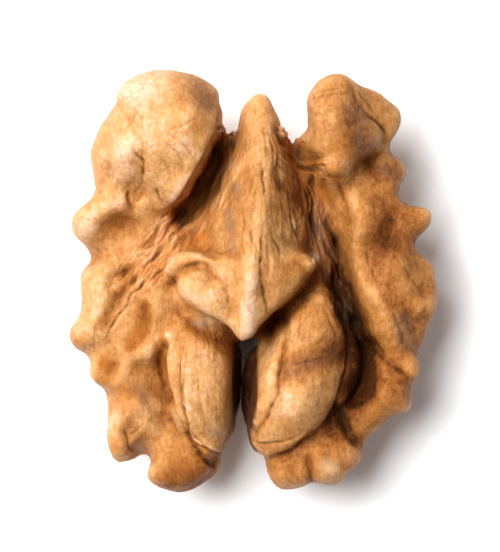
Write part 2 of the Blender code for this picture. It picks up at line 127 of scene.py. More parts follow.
room = bpy.data.worlds.new("room")
room.use_nodes = True
daylight = room.node_tree.nodes["Background"]
daylight.inputs["Color"].default_value = ROOM_COLOUR
daylight.inputs["Strength"].default_value = ROOM_STRENGTH
scene.world = room
print("lights, watts:", {name: values[0] for name, values in LIGHTS.items()})

# %% [markdown]
# The table is one flat square of white matt card. It is lit so strongly that only the shade
# beside the kernel shows. Such card is rolled and not glazed: it scatters light to all sides, so
# the eye sees an even white without a highlight.

# %% Table of white matt card
TABLE_HALF = 1.5

table_mesh = bpy.data.meshes.new("table")
bm = bmesh.new()
bmesh.ops.create_grid(bm, x_segments=1, y_segments=1, size=TABLE_HALF)
bm.to_mesh(table_mesh)
bm.free()
table = bpy.data.objects.new("table", table_mesh)
scene.collection.objects.link(table)

card = bpy.data.materials.new("white_matt_card")
card.use_nodes = True
card_shader = card.node_tree.nodes["Principled BSDF"]
card_shader.inputs["Base Color"].default_value = linear("#F7F7F8")
card_shader.inputs["Roughness"].default_value = 0.9
card_shader.inputs["Specular IOR Level"].default_value = 0.1
table_mesh.materials.append(card)
print("table, m:", 2 * TABLE_HALF, "square")

# %% [markdown]
# ## Tools for carving
#
# The kernel is carved in arrays of points, which is far quicker than one vertex at a time. One
# helper applies modifiers to a mesh. A class holds a mesh's points and normals in millimetres, and
# can average values over neighbours, which smooths a shape or blurs what is painted on it.


# %% Meshes
def mesh_with(mesh, *modifiers):
    """A new mesh: the given one with modifiers applied, each a kind and its settings."""
    holder = bpy.data.objects.new("holder", mesh)
    scene.collection.objects.link(holder)
    for kind, settings in modifiers:
        modifier = holder.modifiers.new(kind.title(), kind)
        for name, value in settings.items():
            setattr(modifier, name, value)
    graph = bpy.context.evaluated_depsgraph_get()
    result = bpy.data.meshes.new_from_object(holder.evaluated_get(graph), depsgraph=graph)
    bpy.data.objects.remove(holder)
    return result


class Clay:
    """The points of a mesh in millimetres, with their outward normals."""

    def __init__(self, mesh):
        self.mesh = mesh
        self.points = np.empty(len(mesh.vertices) * 3, dtype=np.float32)
        mesh.vertices.foreach_get("co", self.points)
        self.points = self.points.reshape(-1, 3) / MM
        edges = np.empty(len(mesh.edges) * 2, dtype=np.int32)
        mesh.edges.foreach_get("vertices", edges)
        self.edges = edges.reshape(-1, 2)
        self.degree = np.bincount(self.edges.ravel(), minlength=len(self.points))[:, None]
        self.settle()

    def settle(self):
        """Puts the points back in the mesh and reads its normals again."""
        self.mesh.vertices.foreach_set("co", (self.points * MM).ravel())
        self.mesh.update()
        self.normals = np.empty(self.points.size, dtype=np.float32)
        self.mesh.vertices.foreach_get("normal", self.normals)
        self.normals = self.normals.reshape(-1, 3)

    def spread(self, values, rounds):
        """Values on the points, averaged with their neighbours a number of times."""
        values = np.array(values, dtype=np.float32).reshape(len(self.points), -1)
        start, end = self.edges.T
        for _ in range(rounds):
            total = np.zeros_like(values)
            for column in range(values.shape[1]):
                total[:, column] += np.bincount(start, values[end, column], len(values))
                total[:, column] += np.bincount(end, values[start, column], len(values))
            values = (values + total / self.degree) / 2
        return values

    def facing(self, up):
        """1 where the skin faces up, or down if up is false, and 0 where it faces the other way."""
        return np.clip(self.normals[:, 2] * (4 if up else -4) + 0.6, 0, 1)


print("clay keeps its points in units of", MM, "m")

# %% [markdown]
# A sculptor's brush moves the skin, less and less towards the brush's edge. Here a stroke is a
# smooth curve through a few points seen from above, in millimetres. Every point of the skin
# learns how far it is from that curve, and on which side.

# %% Curves and brushes
CURVE_STEP = 0.12


def smooth_curve(points):
    """Closely spaced points on a smooth curve through the given ones."""
    points = [np.array(p, dtype=float) for p in points]
    if len(points) == 1:
        return np.array([points[0], points[0] + (0, 1e-3)])
    ends = [2 * points[0] - points[1], *points, 2 * points[-1] - points[-2]]
    curve = [points[0]]
    for before, start, end, after in zip(ends, ends[1:], ends[2:], ends[3:]):
        steps = max(1, math.ceil(np.linalg.norm(end - start) / CURVE_STEP))
        for t in np.arange(1, steps + 1) / steps:
            bend = (2 * before - 5 * start + 4 * end - after) * t**2
            twist = (3 * start - before - 3 * end + after) * t**3
            curve.append((2 * start + (end - before) * t + bend + twist) / 2)
    return np.array(curve)


def beside(clay, points, width):
    """Which points lie within width of a curve, how far to its left, and how far along it."""
    curve = smooth_curve(points)
    flat = clay.points[:, :2]
    low, high = curve.min(axis=0) - width, curve.max(axis=0) + width
    near = np.nonzero(((flat > low) & (flat < high)).all(axis=1))[0]
    start, run = curve[:-1], np.diff(curve, axis=0)
    length = np.maximum(np.linalg.norm(run, axis=1), 1e-9)
    travelled = np.concatenate([[0], np.cumsum(length)])
    best = np.full(len(near), np.inf)
    left = np.zeros(len(near))
    along = np.zeros(len(near))
    for k in range(len(run)):
        offset = flat[near] - start[k]
        t = np.clip(offset @ run[k] / length[k] ** 2, 0, 1)
        distance = np.hypot(*(offset - t[:, None] * run[k]).T)
        closer = distance < best
        turn = run[k][0] * offset[:, 1] - run[k][1] * offset[:, 0]
        left[closer] = (distance * np.where(turn < 0, -1, 1))[closer]
        along[closer] = (travelled[k] + t * length[k])[closer]
        best = np.minimum(best, distance)
    inside = best < width
    return near[inside], left[inside], along[inside], travelled[-1]


def brush(distance, width):
    """1 at the middle of a brush, falling smoothly to 0 at its edge."""
    return np.clip(1 - (distance / width) ** 2, 0, 1) ** 2


def stroke(clay, width, lift, points, up=True):
    """Lifts the skin along a curve, or digs into it where lift is negative."""
    near, left, _, _ = beside(clay, points, width)
    amount = lift * brush(left, width) * clay.facing(up)[near]
    clay.points[near] += clay.normals[near] * amount[:, None]


print("a brush halfway to its edge works with", brush(0.5, 1.0), "of its strength")

# %% [markdown]
# ## The blank
#
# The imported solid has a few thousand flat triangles, which suits a physics engine and not the
# eye. Subdividing alone would keep its uneven triangles. So a copy is welded, rounded once with
# Subdivision Surface, and then wrapped in an even skin of small squares with a voxel Remesh,
# which is what a sculptor does before working on a rough block.

# %% Copy, round and wrap
SKIN_SQUARE = 0.26 * MM
WELD = 0.001 * MM

bm = bmesh.new()
bm.from_mesh(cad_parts["walnut_kernel_half"].data)
bmesh.ops.remove_doubles(bm, verts=bm.verts, dist=WELD)
welded = bpy.data.meshes.new("welded")
bm.to_mesh(welded)
bm.free()

round_off = ("SUBSURF", {"levels": 1, "render_levels": 1})
wrap = ("REMESH", {"mode": "VOXEL", "voxel_size": SKIN_SQUARE})
clay = Clay(mesh_with(welded, round_off, wrap, ("SMOOTH", {"factor": 0.5, "iterations": 4})))
print("even skin:", len(clay.mesh.polygons), "squares")

# %% [markdown]
# ## Broad folds
#
# Now the soft shapes: the domes of the upper lobes, the bowl in the left knob, the puffed wings
# of the heart and the hollows between the folds of the rim. Each stroke swells or sinks the
# skin along its normals, as growth does.

# %% Strokes: name, half width, lift in mm, points seen from above
BROAD = [
    ("left ear, domed", 4.2, 0.30, [(-7.0, 11.2)]),
    ("left ear, side lobe", 1.6, 0.30, [(-9.9, 9.9)]),
    ("left ear, right edge", 0.9, 0.40,
     [(-2.9, 12.8), (-3.4, 11.2), (-4.0, 9.9), (-4.9, 8.2), (-5.9, 6.8), (-6.7, 5.9)]),
    ("left ear, inner shoulder", 1.7, 0.55, [(-5.9, 7.2), (-5.1, 8.8), (-4.5, 10.4), (-4.1, 12.2)]),
    ("left ear, top rim", 1.6, 0.40, [(-9.0, 14.0), (-7.0, 14.7), (-4.8, 14.5)]),
    ("left ear, side seam", 0.9, -0.22, [(-9.6, 13.2), (-9.1, 12.0), (-8.4, 10.2), (-8.4, 7.6)]),
    ("left ear, bud seam", 0.7, -0.25, [(-11.3, 10.4), (-10.7, 9.4), (-10.9, 7.8)]),
    ("left ear, neck seam", 0.5, -0.30, [(-9.2, 7.0), (-9.15, 5.6)]),
    ("left ear, second neck seam", 0.45, -0.30, [(-8.3, 6.7), (-9.0, 5.8)]),
    ("left ear, foot filled", 1.4, 0.50, [(-8.9, 5.3), (-7.9, 4.9), (-7.0, 4.6)]),
    ("left knob, bowl", 1.4, -0.15, [(-11.0, 3.8), (-9.6, 4.4)]),
    ("left slab, top groove", 0.6, -0.35, [(-10.8, -0.4), (-10.3, 0.5), (-9.5, 0.85), (-8.9, 1.1)]),
    ("left slab, trough", 1.0, -0.30, [(-9.3, 0.4), (-9.8, -0.6), (-10.3, -1.6), (-11.0, -3.2)]),
    ("left slab, lip of the crack", 0.45, 0.25, [(-8.7, 0.2), (-9.4, -1.1), (-10.3, -2.6), (-11.2, -4.0)]),
    ("left plain, dent", 1.0, -0.24, [(-8.3, -1.8), (-8.2, -2.8), (-8.6, -3.8), (-9.2, -4.8)]),
    ("left plain, lip of the dent", 0.6, 0.15, [(-7.5, -1.9), (-7.6, -3.0), (-8.2, -4.3), (-8.9, -5.2)]),
    ("left ledge", 0.9, 0.25,
     [(-5.6, -3.2), (-7.1, -4.4), (-8.5, -5.3), (-9.4, -6.0), (-10.0, -7.0), (-10.5, -7.7)]),
    ("left corner, hollow", 1.2, -0.25, [(-10.9, -6.2), (-10.7, -6.7)]),
    ("thumb, strip beside it filled", 0.8, 0.55,
     [(-6.2, -4.2), (-6.1, -6.0), (-6.0, -8.0), (-5.6, -9.8), (-5.1, -11.0)]),
    ("thumb, left cleft", 0.5, -0.65,
     [(-6.8, -4.7), (-7.05, -5.6), (-7.0, -6.6), (-6.75, -7.9), (-6.4, -9.1)]),
    ("ridge left of the cleft", 0.9, 0.30, [(-7.6, -5.3), (-7.9, -6.5), (-7.7, -7.9), (-7.1, -9.4)]),
    ("diagonal ridge", 0.9, 0.25, [(-9.9, -7.2), (-9.6, -8.3), (-9.0, -9.4), (-8.1, -10.4), (-7.6, -11.0)]),
    ("hollow inside the diagonal", 1.2, 0.35, [(-8.7, -7.6), (-8.2, -8.8), (-7.4, -9.6)]),
    ("toe hollow", 1.0, -0.35, [(-8.8, -10.4), (-9.4, -11.4)]),
    ("toe, fold", 0.6, -0.2, [(-9.4, -11.5), (-9.3, -12.3), (-9.0, -12.9)]),
    ("thumb, foot of its strip", 0.6, -0.3, [(-5.2, -11.0), (-4.3, -12.5), (-3.1, -13.5)]),
    ("heart, left rim", 0.5, 0.30,
     [(-6.5, 0.2), (-6.4, 1.2), (-5.7, 1.75), (-4.9, 1.95), (-4.0, 1.75), (-3.4, 1.4)]),
    ("heart, left bowl", 0.6, -0.55,
     [(-6.0, -0.1), (-5.7, 0.6), (-5.1, 1.1), (-4.4, 1.3), (-3.7, 1.2), (-3.3, 0.7), (-3.1, 0.1)]),
    ("heart, left puff", 1.7, 0.30, [(-4.9, -0.7), (-3.4, -1.4)]),
    ("heart, left of the keel", 0.7, -0.30, [(-2.5, -0.2), (-2.0, -1.2), (-1.7, -2.6)]),
    ("heart, keel", 0.9, 0.30, [(-0.3, 1.5), (-0.35, -1.5), (-0.5, -3.6)]),
    ("heart, right of the keel", 0.6, -0.20, [(0.9, 1.6), (0.9, 0.2), (1.0, -1.2), (1.3, -2.2)]),
    ("heart, right wing tip", 0.8, 0.3, [(4.2, 1.3)]),
    ("leaf, strip groove", 0.6, -0.30,
     [(2.3, -3.0), (2.35, -3.8), (2.1, -5.2), (2.0, -6.2), (1.85, -7.5), (1.7, -8.5), (1.3, -9.4),
      (0.7, -10.5), (0.1, -11.5)]),
    ("leaf, band", 1.4, -0.30, [(2.5, -6.9), (3.4, -6.6), (4.6, -6.2), (6.2, -5.6)]),
    ("leaf, upper swelling", 1.9, 0.3, [(4.8, -3.3)]),
    ("leaf, lower swelling", 2.0, 0.35, [(3.2, -9.0)]),
    ("leaf, toe lip", 0.5, 0.25, [(0.2, -12.6), (1.2, -12.8), (2.4, -12.3), (3.8, -11.4)]),
    ("right ear, seam", 0.6, -0.25,
     [(7.4, 14.3), (7.6, 13.6), (8.2, 12.7), (8.9, 12.2), (9.5, 11.7), (9.9, 11.0), (9.9, 10.2)]),
    ("right ear, tongue", 1.5, 0.70, [(6.1, 8.3), (6.6, 7.2), (7.3, 6.0)]),
    ("right bump, hollow", 0.9, -0.20, [(8.7, 8.7), (9.2, 7.9)]),
    ("right neck, cleft", 0.6, -0.30, [(6.2, 7.6), (6.6, 6.6), (6.9, 5.6)]),
    ("right hump", 1.6, 0.15, [(8.3, 5.2), (8.1, 3.9)]),
    ("right hump, floor of the hollow beside it", 1.2, 0.45, [(9.8, 4.6), (9.8, 3.2), (9.9, 2.4)]),
    ("right shelf", 1.7, 0.15, [(10.6, 1.0), (9.6, -0.6)]),
    ("right mass, swelling", 1.3, 0.25, [(11.4, -0.6)]),
    ("right mass, lower crest", 0.8, 0.3, [(9.0, -0.9), (9.8, -2.1), (10.2, -3.5), (10.8, -5.0)]),
    ("right mass, hollow", 0.9, -0.45, [(11.6, -2.7), (12.2, -3.6)]),
    ("right mass, knob seam", 0.6, -0.30, [(12.9, -0.6), (13.2, -1.7), (12.9, -2.8)]),
    ("right valley, upper floor", 1.0, 0.55, [(4.6, 6.0), (5.2, 3.6), (5.9, 1.4)]),
    ("right valley, lower floor", 1.5, 0.50, [(8.2, -4.2)]),
    ("right valley, end", 1.3, 0.15, [(8.0, -8.2)]),
    ("under layer, rim", 0.55, 0.40, [(7.1, -4.2), (7.6, -6.0), (7.35, -7.8), (6.4, -9.0)]),
    ("right lower, seam", 0.6, -0.30, [(8.9, -4.6), (9.6, -5.7), (10.6, -6.6), (11.6, -7.4)]),
    ("right lower, block", 1.6, 0.45, [(10.3, -8.2)]),
    ("bottom right, diagonal groove", 0.6, -0.6, [(6.6, -10.0), (7.1, -11.0), (7.9, -12.0)]),
    ("bottom right, left lobe", 1.6, 0.25, [(2.3, -14.3)]),
    ("bottom right, right lobe", 1.5, 0.35, [(5.8, -14.2)]),
    ("bottom right, groove", 0.7, -0.4, [(4.2, -13.2), (4.3, -14.4), (4.5, -15.8)]),
    ("bottom right, far lobe", 1.0, 0.25, [(7.4, -13.3)]),
]

for _, width, lift, points in BROAD:
    stroke(clay, width, lift, points)
clay.points = clay.spread(clay.points, 3)
clay.settle()
print("broad strokes:", len(BROAD))

# %% [markdown]
# Seen from above, the outline runs where the skin turns under. These strokes work on the sides
# and below, which moves the outline and leaves the inner face alone.

# %% Outline: name, half width, lift in mm, points seen from above
OUTLINE = [
    ("notch between left ear and knob", 1.1, -0.55, [(-12.0, 7.9), (-11.9, 6.8)]),
    ("toe, left corner", 1.2, 0.30, [(-7.4, -14.8), (-7.0, -15.3)]),
    ("left lower lobe, foot", 1.0, 0.35, [(-9.0, -13.2), (-8.2, -13.0)]),
    ("toe, lower edge", 1.2, 0.25, [(-5.8, -15.8), (-4.2, -15.6)]),
    ("right ear, foot of its left edge", 0.9, -0.55, [(3.7, 11.4), (3.5, 10.9)]),
    ("right web, rim", 0.8, 0.25, [(2.4, 11.0)]),
]

for _, width, lift, points in OUTLINE:
    stroke(clay, width, lift, points, up=False)
clay.settle()
print("outline strokes:", len(OUTLINE))

# %% [markdown]
# The slit is widest at the inner face. Its walls lean together towards the back of the kernel,
# where they almost touch, and so it looks dark from above.

# %% Walls of the slit
SLIT_X = -0.6
SLIT_ENDS = (-12.4, -4.9)
SLIT_REACH = 1.7
LEAN = 0.65
LEAN_TOP = 6.5
LEAN_HEIGHT = 2.5

x, y, z = clay.points.T
deep = np.clip((LEAN_TOP - z) / LEAN_HEIGHT, 0, 1)
along_slit = np.clip(np.minimum(y - SLIT_ENDS[0], SLIT_ENDS[1] - y) / 0.8 + 0.5, 0, 1)
walls = deep * along_slit * (abs(x - SLIT_X) < SLIT_REACH)
clay.points[:, 0] += LEAN * walls * clay.normals[:, 0]
clay.settle()
print("points moved in the slit:", int((walls > 0).sum()))

# %% [markdown]
# The back can't be seen from above. It has the winding grooves that every walnut has between
# its folds: they follow the lines where a soft noise changes its sign.

# %% Grooves of the back
FOLD_SIZE = 4.2
GROOVE_DEPTH = 0.55
GROOVE_SHARE = 0.13


def soft_noise(size, shift=(0, 0, 0)):
    """A soft noise on every point, from -1 to 1, with bumps about this many millimetres wide."""
    return np.array([noise.noise(Vector(p) / size + Vector(shift)) for p in clay.points.tolist()])


facing_down = np.clip((-clay.normals[:, 2] - 0.1) / 0.4, 0, 1)
groove = np.clip(1 - abs(soft_noise(FOLD_SIZE, (3, 8, 1))) / GROOVE_SHARE, 0, 1)
clay.points -= clay.normals * (GROOVE_DEPTH * groove * facing_down)[:, None]
clay.settle()
print("grooved share of the back:", round(float((groove * facing_down).sum() / facing_down.sum()), 2))

# %% [markdown]
# ## Fine skin
#
# Cracks and fibres are a few tenths of a millimetre wide, and need smaller squares than the
# folds. Only the inner face has them, so only the skin that faces up or sideways is divided once
# more. Where it meets the coarser back, subdivide_edges closes the seam by itself.

# %% Divide the inner face
FACING_DOWN_LIMIT = -0.05

bm = bmesh.new()
bm.from_mesh(clay.mesh)
inner = [e for e in bm.edges if any(f.normal.z > FACING_DOWN_LIMIT for f in e.link_faces)]
bmesh.ops.subdivide_edges(bm, edges=inner, cuts=1, use_grid_fill=True)
fine_mesh = bpy.data.meshes.new("kernel")
bm.to_mesh(fine_mesh)
bm.free()
clay = Clay(fine_mesh)
clay.points = clay.spread(clay.points, 2)
clay.settle()
triangles = sum(len(face.vertices) - 2 for face in clay.mesh.polygons)
print("fine skin:", len(clay.points), "points,", triangles, "triangles")

# %% [markdown]
# Every point of the skin carries a few amounts that the shader turns into colour later. Ink is the
# dark brown in cracks, together with painted shade in creases, hollows, fibre gaps and the slit. Rust
# is the orange-brown of torn inner tissue, ash the grey bloom, and pale the rubbed and chipped
# places, together with painted highlights on fibre ridges and lit lobes. Shade is how dark the skin
# has dried, together with painted shade and painted light: darker in valleys, under overhangs and on
# sides turned from the softbox, lighter on some sides that face away from it. Fibre says how stringy
# it is. Strand isn't an amount: it says how far a point lies across and along its fibres.

# %% Amounts on the skin
AMOUNTS = ("ink_and_painted_shade", "rust", "ash", "pale_and_painted_highlight", "dried_tone_and_painted_shade", "fibre")

amounts = {name: np.zeros(len(clay.points)) for name in AMOUNTS}
strand = np.zeros((len(clay.points), 3))


def paint(name, width, amount, points):
    """Adds an amount along a curve on the skin that faces up."""
    near, left, _, _ = beside(clay, points, width)
    amounts[name][near] += amount * brush(left, width) * clay.facing(True)[near]


print("amounts:", ", ".join(amounts))

# %% [markdown]
# Finer tools follow. A crack in dry skin wavers and thins out at its ends, so one tool both carves
# and darkens it: with the crack's own brown, and with painted shade that is darkest where the crease
# is deepest. Another lifts the edge of a layer that lies on top of its neighbour. The last one combs
# the skin into torn strands with gaps between them, paints shade into the gaps and paints a highlight
# along the strand ridges.


# %% Crease, overlap and comb
WAVER = 0.10
FIBRE_FADE = 1.2


def sharp(distance, width):
    """Like brush, but with a crease in the middle."""
    return np.clip(1 - abs(distance) / width, 0, 1) ** 1.6


def crease(width, lift, ink_and_painted_shade, points):
    """A narrow fold line that wavers, tapers at both ends, and is darker with ink and painted shade."""
    near, left, along, total = beside(clay, points, width + WAVER)
    taper = np.clip(np.minimum(along, total - along) / (0.2 * total + 0.05), 0.2, 1)
    waver = np.array([noise.noise((a / 0.9, total, width * 50)) for a in along])
    strength = np.array([noise.noise((a / 0.5, total, width * 90)) for a in along])
    amount = sharp(left + WAVER * waver, width) * taper * (0.8 + 0.6 * strength)
    amount = np.clip(amount * clay.facing(True)[near], 0, 1)
    clay.points[near] += clay.normals[near] * (lift * amount)[:, None]
    # Ink along the crease: partly the crack's own brown, partly painted shade that follows its depth.
    amounts["ink_and_painted_shade"][near] += ink_and_painted_shade * amount**1.3


def overlap(width, lift, points):
    """Lifts the skin on the left of a curve only, like the edge of a layer that lies on top."""
    near, left, along, total = beside(clay, points, width)
    rise = np.clip(left / 0.18 + 0.5, 0, 1)
    taper = np.clip(np.minimum(along, total - along) / 0.8, 0, 1)
    amount = lift * rise * np.clip(1 - np.maximum(left, 0) / width, 0, 1) ** 1.5
    amount *= taper * clay.facing(True)[near]
    clay.points[near] += clay.normals[near] * amount[:, None]


def comb(width, pitch, depth, ink_and_painted_shade, points):
    """Torn fibres along a curve: strands about a pitch wide, with painted shade in the gaps between and a
    painted highlight on their ridges.
    """
    near, left, along, total = beside(clay, points, width)
    ends = np.clip(np.minimum(along, total - along) / FIBRE_FADE, 0, 1)
    weight = brush(left, width) * ends * clay.facing(True)[near]
    across = left / pitch
    for k, vertex in enumerate(near):
        wander = noise.noise((left[k] / 1.3, along[k] / 1.6, 7.0))
        strands = noise.noise((across[k] + 0.6 * wander, along[k] / (7 * pitch), 3.0))
        gaps = noise.noise((across[k] * 0.55 + 0.4 * wander, along[k] / (5 * pitch), 11.0))
        ridge = 1 - 2.2 * abs(strands)
        gap = max(0.0, min(1.0, gaps * 3 - 0.35))
        lift = depth * weight[k] * (ridge - 0.5 - 1.3 * gap)
        clay.points[vertex] += clay.normals[vertex] * lift
        # Painted shade in the gaps between strands, and a painted highlight on the strand ridges.
        amounts["ink_and_painted_shade"][vertex] += ink_and_painted_shade * weight[k] * (gap + 0.35 * max(0.0, 0.4 - ridge))
        amounts["pale_and_painted_highlight"][vertex] += 0.8 * ink_and_painted_shade * weight[k] * max(0.0, ridge - 0.6)
    weight = weight * min(1.0, 2.5 * ink_and_painted_shade)
    stronger = weight > amounts["fibre"][near]
    strand[near[stronger]] = np.stack([left, along, 0 * along], axis=1)[stronger]
    amounts["fibre"][near] = np.maximum(amounts["fibre"][near], weight)


print("a crease halfway to its edge has", round(float(sharp(0.5, 1.0)), 2), "of its depth")

# %% [markdown]
# Real tissue is never even. Three sizes of soft noise keep the domes from looking as if they were
# turned on a lathe.

# %% Unevenness: size of the bumps and their height in mm
UNEVEN = [(2.4, 0.11), (1.0, 0.05), (0.42, 0.02)]

lift = sum(height * soft_noise(size) for size, height in UNEVEN)
clay.points += clay.normals * lift[:, None]
clay.settle()
print("unevenness, mm: from", round(float(lift.min()), 2), "to", round(float(lift.max()), 2))

# %% [markdown]
# Where the halves were joined, the tissue has torn into fibres. They run down beside the root,
# across the web to the right ear, and slantwise over the left side.

# %% Fibres: name, half width, pitch, depth, ink and painted shade, points
COMBS = [
    ("left torn zone", 2.3, 0.32, 0.15, 0.40,
     [(-9.6, -0.6), (-8.8, 0.4), (-7.2, 2.4), (-5.6, 4.4), (-4.2, 6.3)]),
    ("left flank of the root", 1.7, 0.36, 0.10, 0.4,
     [(-1.4, 11.2), (-2.0, 8.6), (-2.8, 6.2), (-3.8, 4.0), (-4.6, 2.4)]),
    ("left valley", 1.3, 0.36, 0.14, 0.35, [(-2.5, 10.8), (-3.4, 8.6), (-4.3, 6.6), (-5.4, 5.0)]),
    ("right web", 1.6, 0.34, 0.16, 0.55, [(1.8, 11.4), (2.2, 10.3), (3.0, 9.2), (4.4, 8.6), (5.8, 8.4)]),
    ("right flank of the root", 1.9, 0.42, 0.09, 0.30,
     [(1.6, 12.4), (1.9, 10.0), (2.3, 7.0), (2.7, 4.2), (2.9, 2.0)]),
    ("right valley", 1.6, 0.38, 0.20, 0.5,
     [(4.2, 8.6), (4.5, 6.2), (4.8, 4.2), (5.3, 2.2), (6.1, -0.4), (7.0, -3.0), (7.6, -4.6)]),
    ("root crest", 2.0, 0.50, 0.03, 0.12, [(0.4, 9.6), (0.3, 6.6), (0.1, 3.6), (-0.2, 0.6)]),
    ("under the heart", 1.6, 0.32, 0.06, 0.3, [(-4.0, -2.4), (-3.4, -3.8), (-3.1, -5.6)]),
    ("thumb", 2.2, 0.50, 0.04, 0.14,
     [(-3.9, -4.4), (-4.0, -6.6), (-3.7, -8.8), (-3.1, -11.0), (-2.6, -12.6)]),
]

for _, width, pitch, depth, ink_and_painted_shade, points in COMBS:
    comb(width, pitch, depth, ink_and_painted_shade, points)
clay.settle()
print("combed:", len(COMBS), "zones")

# %% [markdown]
# The two thin webs beside the root broke off when the shell came away, so their rims are ragged.
# A noise that is fine sideways and long up and down pushes the rims in and out like torn teeth.

# %% Ragged rims: name, half width, height, points
TEAR_SIZE = 0.34
TEAR_LENGTH = 2.0
RIMS = [
    ("left web", 0.55, 0.45, [(-2.5, 11.4), (-1.9, 11.2), (-1.4, 11.5)]),
    ("right web", 0.60, 0.40, [(2.1, 11.4), (2.8, 10.6), (3.5, 10.4)]),
]

for _, width, height, points in RIMS:
    near, left, _, _ = beside(clay, points, width)
    spots = clay.points[near] / (TEAR_SIZE, TEAR_SIZE, TEAR_LENGTH)
    teeth = np.array([noise.noise(spot) for spot in spots.tolist()])
    clay.points[near] += clay.normals[near] * (height * teeth * brush(left, width))[:, None]
clay.settle()
print("ragged rims:", len(RIMS))

# %% [markdown]
# Where one layer of the leaf has grown over another, its edge stands up and throws a thin shade
# on the layer beneath. Only the side on top is lifted, which leaves a small step.

# %% Overlaps: name, half width, lift, points with the upper layer on their left
OVERLAPS = [
    ("thumb over its strip", 1.2, 0.42,
     [(-5.3, -5.4), (-5.35, -8.0), (-5.2, -9.2), (-4.6, -11.3), (-4.05, -12.0), (-3.2, -12.6),
      (-2.2, -12.9)]),
    ("left ear over the valley", 1.3, 0.32,
     [(-6.6, 5.6), (-5.6, 6.5), (-4.5, 8.4), (-3.65, 10.0), (-3.1, 11.4), (-2.75, 12.8)]),
    ("leaf over its under layer", 1.0, 0.22,
     [(3.9, -11.4), (4.9, -10.7), (5.8, -9.3), (6.3, -7.9), (6.8, -6.3), (6.85, -4.6), (6.2, -2.6)]),
    ("right ear over its flap", 0.9, 0.12,
     [(9.7, 10.4), (9.5, 11.5), (8.8, 12.2), (8.1, 12.9), (7.6, 13.7), (7.3, 14.6)]),
]

for _, width, lift, points in OVERLAPS:
    overlap(width, lift, points)
clay.settle()
print("overlaps:", len(OVERLAPS))
